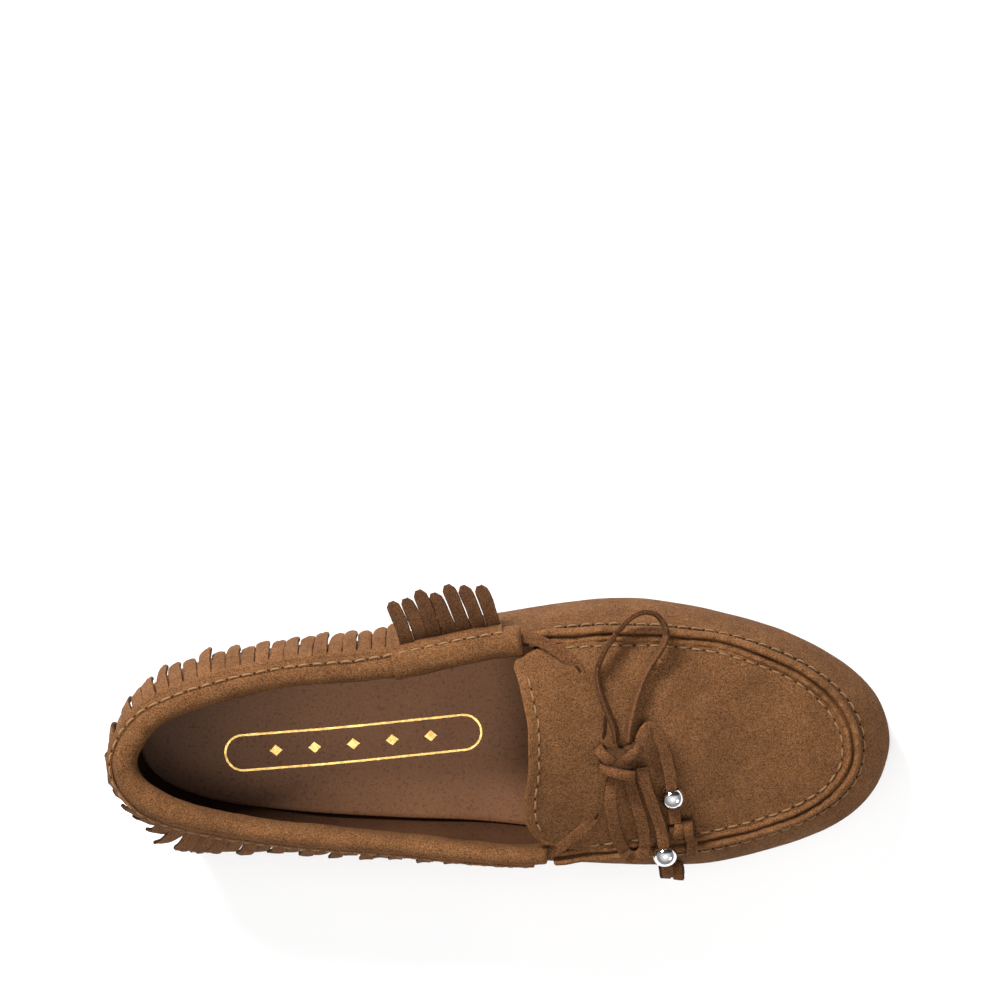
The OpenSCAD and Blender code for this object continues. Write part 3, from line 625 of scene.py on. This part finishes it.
def quarter(name, k0, k1):
    rings = []
    for k in np.linspace(k0, k1, 70):
        shares = np.concatenate(([-1], np.linspace(0, 1, 20) * share_below(k, COLLAR_H / 2 - 1)))
        outer, inner = [], []
        for v in shares:
            p = wall(k, v)
            outer.append(p - into(k, v) * (wobble(p, 26, 0.5) + wobble(p, 9, 0.16, 5)))
            inner.append(wall(k, v, SUEDE_T))
        rings.append((outer, inner))
    shell = Shell()
    shell.loft(sheet_rings(rings), round_ends=0.3)
    return shell.piece(name, SUEDE)


def quarter_lining():
    rings = []
    for k in np.linspace(-THROAT_STATION - 0.18, THROAT_STATION + 0.18, 130):
        top = share_below(k, 2.0)
        outer, inner = [], []
        for v in np.linspace(0.1, top, 18):
            push = wobble(wall(k, v), 22, 0.5, 8)
            outer.append(wall(k, v, 3.0 + push))
            inner.append(wall(k, v, 4.0 + push))
        rings.append((outer, inner))
    shell = Shell()
    shell.loft(sheet_rings(rings), round_ends=0.2)
    return shell.piece("quarter_lining_leather", LINING)


def vamp_lining():
    rings = []
    for s in np.linspace(0.03, 0.93, 60):
        k = THROAT_STATION + (TOE - THROAT_STATION) * s
        outer, inner = [], []
        for depth, line in ((0.0, outer), (1.0, inner)):
            line += [wall(k, v, 3.0 + depth) for v in (0.1, 0.2, 0.32, 0.45, 0.58, 0.7)]
            line += [apron_point(s, c) - UP * (3.5 + depth) for c in np.linspace(0.8, -0.8, 17)]
            line += [wall(STATIONS - k, v, 3.0 + depth) for v in (0.7, 0.58, 0.45, 0.32, 0.2, 0.1)]
        rings.append((outer, inner))
    shell = Shell()
    shell.loft(sheet_rings(rings), round_ends=0.2)
    return shell.piece("vamp_lining_leather", LINING)


# ---------------------------------------------------------------- collar and fringe
def slimness(k):
    """How much narrower than at the heel the collar is, on the inner side."""
    return float(np.interp(k, (STATIONS - 5, STATIONS - 4, STATIONS - 2, STATIONS - 1), (2.6, 2.2, 0.9, 0)))


def collar_section(k, grow, count=28):
    """The rolled collar: full on top, a little flatter where it meets the foot."""
    centre, out = on_line(TOP_LINE, k), -inward(k)
    slim = slimness(k)
    centre = centre - out * slim / 2
    ring = []
    for j in range(count):
        a = 2 * math.pi * j / count
        ca, sa = math.cos(a), math.sin(a)
        x = math.copysign(abs(ca) ** 0.86, ca) * (COLLAR_W / 2 + grow - slim / 2)
        z = math.copysign(abs(sa) ** 0.9, sa) * (COLLAR_H / 2 + grow)
        direction = out * ca + UP * sa
        p = centre + out * x + UP * z
        crease = wobble(p, 7, 0.55, 1) + wobble(p, 3.2, 0.16, 6) + wobble(p, 22, 0.5, 12)
        pinch = -0.5 * math.exp(-((a - 0.12) / 0.16) ** 2)
        ring.append(p + direction * (crease * 0.6 + pinch))
    return ring


def collar():
    """The padded collar with a separate tab over its outer front end, which shows as a step."""
    low, high = STATIONS - COLLAR_END, STATIONS + COLLAR_END
    step = STATIONS + 4.02
    rings = [collar_section(k, 0) for k in np.linspace(low, step, 300)]
    rings += [collar_section(step + 0.004, 0.75)]
    rings += [collar_section(k, 0.75 - 0.35 * (k - step) / (high - step))
              for k in np.linspace(step + 0.02, high, 50)]
    shell = Shell()
    shell.loft(rings, round_ends=1.6)
    return shell.piece("collar_roll", SUEDE)


FLARE_K = [STATIONS + d for d in (-5.1, -4, -3, -2, -1, 0, 0.8, 1.6, 5)]
FLARE = (-0.5, 0.5, 3, 8.5, 4, -0.6, 0.5, 2.0, 2.3)
SPREAD = (0.94, 0.95, 0.98, 1.12, 1.05, 0.98, 0.97, 0.97, 0.98)
STRAY_K = [STATIONS + d for d in (-1.85, 1.5, 2.1)]
LIFT_K = [STATIONS + d for d in (4.04, 4.13, 4.9, 5.05)]
LIFT = (0, 0.9, 1, 0.7)
SEAM_DROP = 1.0


def band_rise(k):
    """The band's upper edge climbs over the collar on the outer side and stays lower on the inner."""
    places = [STATIONS + d for d in (-1.8, -0.7, 0.3, 1.5, 3.6, 4.2)]
    return float(np.interp(k, places, (0.2, 3.5, 4.6, 6.0, 6.0, 5.1)))


def uncut_drop(k):
    """Where the cuts between the strands begin: higher up the collar on the outer side."""
    places = (STATIONS - 0.5, STATIONS + 0.8, STATIONS + 4.0, STATIONS + 4.3)
    return float(np.interp(k, places, (6.0, -1.2, -1.2, 3.0)))


def band_point(k, drop, stand_off):
    """A point of the uncut band, which starts on the upper side of the collar and lies over its flank."""
    over = math.sqrt(max(0.0, 1 - (min(0.0, drop) / (COLLAR_H / 2)) ** 2))
    return on_line(TOP_LINE, k) - inward(k) * (
        over * (COLLAR_W / 2 + stand_off) + LAYER_GAP - slimness(k)) - UP * (
        drop - 0.6 * stand_off * (1 - over))


def strand_line(k, length, extra_flare, lean, curl):
    """Centre line of one strand, from the band to its tip."""
    lifted = float(np.interp(k, LIFT_K, LIFT))
    middle = FRINGE_T / 2
    drop = SEAM_DROP + ROOT_H
    band = band_point(k, uncut_drop(k) - 1.2, middle)
    below = share_below(k, drop + length)
    tip = wall(k, below, -LAYER_GAP - middle) - inward(k) * (
        float(np.interp(k, FLARE_K, FLARE)) + extra_flare)
    along = unit(on_line(WIDEST, k + 0.1) - on_line(WIDEST, k - 0.1)) * (1, 1, 0)
    line = []
    for t in np.linspace(0, 1, 13):
        hang = band * (1 - t) + tip * t - inward(k) * math.sin(math.pi * t) * 0.9
        up = (band - inward(k) * t * length * (1.12 + 0.1 * curl) - UP * (4 * t * t)
              + UP * 3.2 * math.sin(math.pi * t))
        p = hang * (1 - lifted) + up * lifted + along * (lean * t * t)
        line.append(p - inward(k) * curl * t * t * (1 - lifted))
    return line


def fringe():
    shell = Shell()
    start, end = STATIONS - 5.1, STATIONS + 5.05
    rings = []
    for k in np.linspace(start, end, 260):
        drops = np.linspace(SEAM_DROP - band_rise(k), uncut_drop(k), 12)
        outer = [band_point(k, d, FRINGE_T * (0.6 if d < -3 else 1) + wobble(band_point(k, d, 1), 7, 0.3))
                 for d in drops]
        inner = [band_point(k, d, 0) for d in drops]
        rings.append((outer, inner))
    shell.loft(sheet_rings(rings), round_ends=0.4)
    ks = np.linspace(start, end, 400)
    band = np.array([band_point(k, 5, 1) for k in ks])
    run = np.concatenate(([0], np.cumsum(np.linalg.norm(np.diff(band, axis=0), axis=1))))
    pitch = run[-1] / STRANDS
    section = [(-1, 0), (-0.98, -0.7), (-0.86, -1), (-0.3, -1), (0.3, -1), (0.86, -1), (0.98, -0.7), (1, 0),
               (0.98, 0.7), (0.86, 1), (0.3, 1), (-0.3, 1), (-0.86, 1), (-0.98, 0.7)]
    for i in range(STRANDS):
        k = float(np.interp((i + 0.5) * pitch, run, ks))
        lifted = float(np.interp(k, LIFT_K, LIFT))
        stray = min(abs(k - q) for q in STRAY_K) < 0.09
        length = STRAND_L * rng.uniform(0.93, 1.05) * (1 - 0.1 * lifted)
        lean = 3.2 * float(np.interp(k, (STATIONS - 4.5, STATIONS - 3, STATIONS - 0.6, STATIONS),
                                     (0, 1, 1, 0)))
        line = strand_line(k, length * rng.uniform(1 - 0.1 * lifted, 1), rng.uniform(0.0, 0.7) + 1.5 * stray,
                           lean + rng.uniform(-0.4, 0.4) + 1.2 * stray - 3.0 * lifted, rng.uniform(-0.1, 0.4))
        twist = rng.uniform(0.04, 0.22) + 0.3 * stray + 0.1 * lifted
        rings = []
        for j, p in enumerate(line):
            t = j / (len(line) - 1)
            down = unit(line[min(len(line) - 1, j + 1)] - line[max(0, j - 1)])
            across = unit(on_line(WIDEST, k + 0.1) - on_line(WIDEST, k - 0.1)) * (1, 1, 0)
            normal = unit(np.cross(across, down))
            across = unit(across * math.cos(twist * min(1, 2 * t)) + normal * math.sin(twist * min(1, 2 * t)))
            normal = np.cross(across, down)
            tip = max(0.0, 1 - (max(0.0, t - 0.82) / 0.185) ** 3) ** 0.5
            spread = np.interp(k, FLARE_K, SPREAD)
            half = pitch * 0.5 * spread * (1 + wobble(p, 6, 0.08, i)) * max(tip, 0.45)
            thick = FRINGE_T / 2 * (1 + wobble(p, 3, 0.15, i + 40))
            cup = wobble(p, 8, 0.8, i + 80)
            layer = (0.35 if i % 2 else -0.35) * min(1.0, 2 * t)
            rings.append([p + across * a * half + normal * (b * thick + cup * a * a + layer)
                          for a, b in section])
        # Lifted strands are all in the darker suede, as painted shade.
        shell.loft(rings, mark=1 if lifted > 0.5 else 0, round_ends=0.35, edges=(0, 6, 7, 13))
    return shell.piece("fringe_suede", [SUEDE, CUT_EDGE_AND_SHADE])


# ---------------------------------------------------------------- stitches
def stitch_row(shell, path, normals, sink=0.35):
    """Stitches that dive into the leather at both ends, with a hole between each two, shown as a sunk disc of
    painted shade.
    """
    for i in range(len(path) - 1):
        a, b = path[i], path[i + 1]
        t = unit(b - a)
        normal = unit(normals[i] - t * np.dot(normals[i], t))
        side = np.cross(t, normal)
        centre = (a + b) / 2 + side * rng.uniform(-0.12, 0.12)
        half = STITCH_L / 2 * rng.uniform(0.93, 1.05)
        slant = rng.uniform(-0.12, 0.12)
        rings = []
        for f in np.linspace(-1, 1, 9):
            rise = THREAD_D * 0.5 * (1 - f * f) ** 0.5 - sink * f**6 * 1.6
            r = THREAD_D / 2 * (1 - 0.25 * f * f)
            core = centre + t * f * half + side * f * slant + normal * rise * 0.8
            rings.append([core + side * math.cos(q) * r + normal * math.sin(q) * r * 0.8
                          for q in np.arange(8) * math.pi / 4])
        shell.loft(rings)
        if i:
            hole = a + normal * 0.02
            disc = [[hole + t * math.cos(q) * r + side * math.sin(q) * r * 0.8 + normal * z
                     for q in np.arange(8) * math.pi / 4]
                    for r, z in ((0.4, -0.3), (0.46, 0.04), (0.2, 0.08))]
            shell.loft(disc, mark=1)


def rows_on(name, paths, tree, lift=0.0):
    shell = Shell()
    for path in paths:
        places, normals = [], []
        for p in spaced(path, PITCH):
            hit, normal = drop_on(tree, p[0], p[1])
            if hit is not None:
                places.append(hit + normal * lift)
                normals.append(normal)
        stitch_row(shell, places, normals)
    return shell.piece(name, [THREAD, HOLE_SHADE])


def vamp_row():
    ks = np.linspace(WELT_START, STATIONS - WELT_START, 400)
    path = [wall(k, 0.895) for k in ks]
    shell = Shell()
    places = spaced(path, PITCH)
    normals = [-into(float(np.interp(i, (0, len(places)), (ks[0], ks[-1]))), 0.9) for i in range(len(places))]
    places = [p + n * wobble(p, 26, 0.5) for p, n in zip(places, normals)]
    stitch_row(shell, places, normals)
    return shell.piece("vamp_stitch_row", [THREAD, HOLE_SHADE])


def collar_row():
    ks = np.linspace(STATIONS - COLLAR_END + 0.02, STATIONS + COLLAR_END - 0.02, 500)
    path = [band_point(k, SEAM_DROP - band_rise(k) - 0.1, 0.9) for k in ks]
    places = spaced(path, PITCH)
    normals = [unit(-inward(float(np.interp(i, (0, len(places)), (ks[0], ks[-1])))) + UP)
               for i in range(len(places))]
    shell = Shell()
    stitch_row(shell, places, normals)
    return shell.piece("collar_stitch_row", [THREAD, HOLE_SHADE])


# ---------------------------------------------------------------- thong, knots and beads
def lowered(points, tree, parts, clearance):
    """A route brought down until the flat thong lies on the surface below it."""
    line = []
    for p in route(points, parts):
        hit, _ = drop_on(tree, p[0], p[1])
        if hit is not None and p[2] - hit[2] < 5.0:
            p = p - UP * max(0.0, min(1.5, p[2] - hit[2] - clearance))
        line.append(p)
    return line


def on_edge(path, lean):
    """Normals that stand the thong on its edge, leaning by a share towards lying flat."""
    ups = []
    for i in range(len(path)):
        t = unit(path[min(len(path) - 1, i + 1)] - path[max(0, i - 1)])
        ups.append(unit(np.cross(t, UP) * (1 - lean[i]) + UP * lean[i]))
    return ups


def declare_cord(name, path, ups, nodes):
    shell = Shell()
    shell.loft(strip_rings(path, ups, seed=len(name)), round_ends=0.15, edges=STRIP_EDGES)
    piece = shell.piece(name, [THONG, CUT_EDGE_AND_SHADE])
    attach(piece, BODY)
    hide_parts(*nodes)
    return piece


def wrap_ring(shell, centre, axis, radii, width, tilt=0.0, thickness=LACE_T):
    """One turn of the thong round a knot."""
    axis = unit(np.array(axis, float))
    side = unit(np.cross(UP, axis))
    up = np.cross(axis, side)
    path, ups = [], []
    for a in np.linspace(0, 2 * math.pi, 28, endpoint=False):
        out = side * math.cos(a) * radii[0] + up * math.sin(a) * radii[1]
        path.append(np.array(centre, float) + out + axis * tilt * math.cos(a))
        ups.append(unit(side * math.cos(a) / radii[0] + up * math.sin(a) / radii[1]))
    rings = []
    for i, p in enumerate(path):
        t = unit(path[(i + 1) % 28] - path[i - 1])
        across = np.cross(t, ups[i])
        w, h = width / 2 * (1 + wobble(p, 3, 0.15)), thickness / 2
        rings.append([p + across * a * w + ups[i] * b * h for a, b in
                      ((-1, 0), (-0.85, -1), (0, -1), (0.85, -1), (1, 0), (0.85, 1), (0, 1.05), (-0.85, 1))])
    shell.loft(rings, ring_closed=True, edges=(0, 7, 3, 4))


def bow_knot():
    shell = Shell()
    c = BOW_CENTRE
    wrap_ring(shell, c + (-0.5, -3.6, 0.2), (0.12, 1, 0), (5.4, 3.0), 3.8, 0.6)
    wrap_ring(shell, c + (-4.2, 1.9, 0.0), (0.75, 0.65, 0.1), (3.3, 2.7), 3.9, -0.5)
    wrap_ring(shell, c + (3.6, 2.6, 0.2), (-0.7, 0.7, 0.1), (3.6, 2.9), 3.9, 0.5)
    core = [[c + (x, y * r, z * r * 0.6) for y, z in
             [(math.cos(q), math.sin(q)) for q in np.arange(12) * math.pi / 6]]
            for x, r in ((-4.5, 2.0), (-3, 3.6), (0, 4.2), (3, 3.8), (4.5, 2.2))]
    # The knot's core, between its turns, is in the darker suede as painted shade.
    shell.loft(core, mark=1, round_ends=1.0)
    return shell.piece("bow_knot_thong", [THONG, CUT_EDGE_AND_SHADE])


def stopper_knot(name, line):
    """Two crossed turns of thong with the cut end of the strip hanging from them."""
    shell = Shell()
    line = [np.array(p, float) for p in line]
    axis = unit(line[4] - line[1])
    centre = (line[2] + line[3]) / 2 + axis * 1.3 + (0, 0.8, 0)
    wrap_ring(shell, centre - axis * 1.6, axis, (2.3, 2.4), 3.6, 0.3)
    wrap_ring(shell, centre + axis * 2.2, axis + UP * 0.25, (2.6, 2.4), 3.8, -0.5)
    tail = route([line[3], line[4], line[5], line[6], line[7]], 6)
    ups = [unit(np.array((0.5, -0.3, 1.0)))] * len(tail)
    shell.loft(strip_rings(tail, ups, LACE_W), round_ends=0.1, edges=STRIP_EDGES)
    core = route([line[1], centre, line[4]], 5)
    # The knot's core, inside its turns, is in the darker suede as painted shade.
    shell.loft(strip_rings(core, [UP] * len(core), 4.0, 3.4), mark=1, round_ends=0.5)
    return shell.piece(name, [THONG, CUT_EDGE_AND_SHADE])


def bead(name, centre, direction):
    """A polished ball with a bored hole and a small round rim at each mouth."""
    centre, axis = np.array(centre, float), unit(np.array(direction, float))
    side = unit(np.cross(axis, UP))
    up = np.cross(side, axis)
    r, bore = BEAD_D / 2, BEAD_BORE / 2
    mouth = math.asin((bore + 0.25) / r)
    profile = [(r * math.sin(a), r * math.cos(a)) for a in np.linspace(mouth, math.pi - mouth, 40)]
    h = r * math.cos(mouth)
    profile += [(bore + 0.12, -h - 0.04), (bore, -h + 0.15)]
    profile += [(bore, z) for z in np.linspace(-h + 0.4, h - 0.4, 6)]
    profile += [(bore, h - 0.15), (bore + 0.12, h + 0.04)]
    turns = 64
    points = [centre + (side * math.cos(q) + up * math.sin(q)) * x + axis * z
              for q in np.arange(turns) * 2 * math.pi / turns for x, z in profile]
    n = len(profile)
    faces = [(i * n + j, i * n + (j + 1) % n, ((i + 1) % turns) * n + (j + 1) % n, ((i + 1) % turns) * n + j)
             for i in range(turns) for j in range(n)]
    piece = add_mesh(name, points, faces, METAL)
    fix_normals(piece)
    return piece


# ---------------------------------------------------------------- inside and sole
def slab(name, inset, low, high, materials, dish=0.0, ks=None):
    """A layer of the sole between two heights over the length, with rounded edges."""
    ks = TOE * (0.5 - 0.5 * np.cos(np.linspace(0.07, math.pi - 0.07, 120))) if ks is None else ks
    rings = []
    for k in ks:
        a, b = np.array(plan_point(k, inset)), np.array(plan_point(STATIONS - k, inset))
        upper, lower = [], []
        for c in np.linspace(-1, 1, 41):
            x, y = a * (1 + c) / 2 + b * (1 - c) / 2
            upper.append(np.array((x, y, high(x) + dish * c**6)))
            lower.append(np.array((x, y, low(x) + dish * c**6)))
        rings.append((upper, lower))
    shell = Shell()
    shell.loft(sheet_rings(rings), round_ends=0.5)
    return shell.piece(name, materials)


def above_sole(height):
    return lambda x: sole_top(x) + height


STAMP_L, STAMP_W, STAMP_LINE, STAMP_TURN = 86.0, 12.0, 0.8, math.radians(4.5)
STAMP_CENTRE = (-48.5, -2.0)


def foil_stamp(tree):
    """A foil border with round ends and a row of plain lozenges, pressed on the sock."""
    def place(u, v):
        x = STAMP_CENTRE[0] + u * math.cos(STAMP_TURN) - v * math.sin(STAMP_TURN)
        y = STAMP_CENTRE[1] + u * math.sin(STAMP_TURN) + v * math.cos(STAMP_TURN)
        return drop_on(tree, x, y)[0]

    shell = Shell()
    half, r = (STAMP_L - STAMP_W) / 2, STAMP_W / 2
    turns = np.linspace(0.05, math.pi - 0.05, 24)
    outline = [(u, r) for u in np.linspace(-half, half, 90)]
    outline += [(half + r * math.sin(a), r * math.cos(a)) for a in turns]
    outline += [(u, -r) for u in np.linspace(half, -half, 90)]
    outline += [(-half - r * math.sin(a), -r * math.cos(a)) for a in turns]
    section = ((-1, 0), (-0.9, 0.1), (0.9, 0.1), (1, 0), (0.9, -0.1), (-0.9, -0.1))
    rings = []
    for i, (u, v) in enumerate(outline):
        ahead, behind = outline[(i + 1) % len(outline)], outline[i - 1]
        out = unit(np.array((behind[1] - ahead[1], ahead[0] - behind[0])))
        line = STAMP_LINE / 2 * (1 + 0.25 * noise.noise(Vector((u * 0.9, v * 0.9, 0))))
        rings.append([place(u + out[0] * a * line, v + out[1] * a * line) + UP * b for a, b in section])
    shell.loft(rings, ring_closed=True)
    size = 2.1
    for i in range(-2, 3):
        shell.loft([[place(i * 13 + u, a * max(0.1, size - abs(u))) + UP * b for a, b in section]
                    for u in np.linspace(-size, size, 9)])
    stamp = shell.piece("foil_border", FOIL)
    stamp.data.polygons.foreach_set("use_smooth", [False] * len(stamp.data.polygons))
    return stamp


def collar_foam():
    shell = Shell()
    ks = np.linspace(STATIONS - COLLAR_END + 0.03, STATIONS + COLLAR_END - 0.03, 160)
    shell.loft([collar_section(k, -1.5, 20) for k in ks], round_ends=0.6)
    return shell.piece("collar_padding", FOAM)


def slit(shell, tree, x, y, turn, length):
    """A cut in the suede that the thong goes through: a lens just sunk in the surface, dark with painted
    shade.
    """
    along = np.array((math.cos(turn), math.sin(turn), 0.0))
    across = np.array((-along[1], along[0], 0.0))
    rings = []
    for f in np.linspace(-1, 1, 15):
        w = 0.9 * math.sqrt(max(0.02, 1 - f * f))
        p = np.array((x, y, 0.0)) + along * f * length / 2
        hit, _ = drop_on(tree, p[0], p[1])
        rings.append([hit + across * a * w + UP * b
                      for a, b in ((-1, -0.6), (-0.8, 0.12), (0.8, 0.12), (1, -0.6))])
    shell.loft(rings)


# ---------------------------------------------------------------- the shoe, piece by piece
def keep(piece, slot, *nodes, body=BODY):
    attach(piece, body)
    if nodes:
        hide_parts(*nodes)
    return piece


vamp_piece = keep(vamp(), "suede", "vamp")
apron_piece = keep(apron(), "suede", "apron")
welt_piece = keep(welt(), "suede", "apron_welt")
keep(quarter("quarter_outer_suede", 0.0, SIDE_SEAM + 0.02), "suede", "quarter_outer")
keep(quarter("quarter_inner_suede", STATIONS - SIDE_SEAM - 0.02, STATIONS), "suede", "quarter_inner")
keep(quarter_lining(), "lining", "quarter_lining")
keep(vamp_lining(), "lining", "vamp_lining")
collar_piece = keep(collar(), "suede", "collar_cover")
padding = keep(collar_foam(), "foam", "collar_foam")
keep(fringe(), "suede", "fringe")

front = surface_of(vamp_piece, apron_piece, welt_piece)
on_apron = surface_of(apron_piece)
keep(rows_on("apron_stitch_row", [seam_path(3.3, 5.5, STATIONS - 5.5, 400)], on_apron),
     "thread", "apron_stitches")
throat_edge = [apron_point(0, c) + (throat_shift(0, c) + 3.0, 0, 0) for c in np.linspace(-0.88, 0.88, 120)]
keep(rows_on("throat_stitch_row", [throat_edge], on_apron), "thread", "throat_stitches")
keep(vamp_row(), "thread", "vamp_stitches")
keep(collar_row(), "thread", "collar_stitches")

keep(slab("outsole_rubber", TUCK + 0.3, above_sole(-OUTSOLE_T), above_sole(0), RUBBER), "rubber", "outsole")
keep(slab("heel_rubber", TUCK + 0.8, lambda x: 0.0, above_sole(-OUTSOLE_T), RUBBER,
          ks=np.concatenate((0.4 * np.linspace(0.25, 1, 12) ** 2, np.linspace(0.44, 3.27, 50)))),
     "rubber", "heel_lift")
keep(slab("footbed", TUCK + 2.5, above_sole(SOCK_LOW - FOAM_T), above_sole(SOCK_LOW), FOAM),
     "foam", "footbed_foam")
sock_piece = keep(slab("sock_leather", TUCK + 1.0, above_sole(SOCK_LOW), above_sole(SOCK_TOP), SOCK, 1.2),
                  "lining", "sock_lining")
keep(foil_stamp(surface_of(sock_piece)), "foil", "foil_stamp")
for node, stuff in (("insole_board", BOARD), ("heel_counter", BOARD), ("toe_puff", BOARD),
                    ("collar_lace", THONG)):
    for place in bpy.data.objects[node].material_slots:
        place.material = stuff

cuts = Shell()
for x, y, turn, length in ((25.4, 30.8, -0.9, 5.0), (31.5, -20.0, 1.0, 5.0), (34.7, 11.4, 1.5, 8.0)):
    slit(cuts, on_apron, x, y, turn, length)
keep(cuts.piece("thong_slits", HOLE_SHADE), "suede")

# Thong: two bridges from the collar, the bow, and the two tails with their beads and stopper knots
for name, points, node in (("thong_bridge_outer", OUTER_BRIDGE, "lace_bridge_outer"),
                           ("thong_bridge_inner", INNER_BRIDGE, "lace_bridge_inner")):
    shell = Shell()
    path = route(points, 6)
    shell.loft(strip_rings(path, [UP] * len(path), seed=1), round_ends=0.2, edges=STRIP_EDGES)
    keep(shell.piece(name, [THONG, CUT_EDGE_AND_SHADE]), "thong", node)
knot = keep(bow_knot(), "thong", "bow_knot")
beads = [keep(bead("bead_upper_ball", UPPER_BEAD, UPPER_BEAD_LINE), "bead_metal", "bead_upper",
              body="upper_bead"),
         keep(bead("bead_lower_ball", LOWER_BEAD, LOWER_BEAD_LINE), "bead_metal", "bead_lower",
              body="lower_bead")]
stoppers = [keep(stopper_knot("stopper_knot_upper_thong", UPPER_KNOT), "thong", "stopper_knot_upper"),
            keep(stopper_knot("stopper_knot_lower_thong", LOWER_KNOT), "thong", "stopper_knot_lower")]

path = lowered(LONG_LOOP, front, 6, 2.0)
declare_cord("long_loop", path, on_edge(path, np.full(len(path), 0.25)), ["lace_long_loop"])
path = lowered(SHORT_LOOP, front, 6, 0.9)
declare_cord("short_loop", path, [UP] * len(path), ["lace_short_loop"])
path = route(UPPER_TAIL, 6)
declare_cord("upper_tail", path, [UP] * len(path), ["lace_upper_tail"])
path = route(LOWER_TAIL, 6)
ups = [unit(UP * max(0.0, 1 - i / len(path) * 1.1) + np.array((0, -1.0, 0)) * i / len(path))
       for i in range(len(path))]
declare_cord("lower_tail", path, ups, ["lace_lower_tail"])
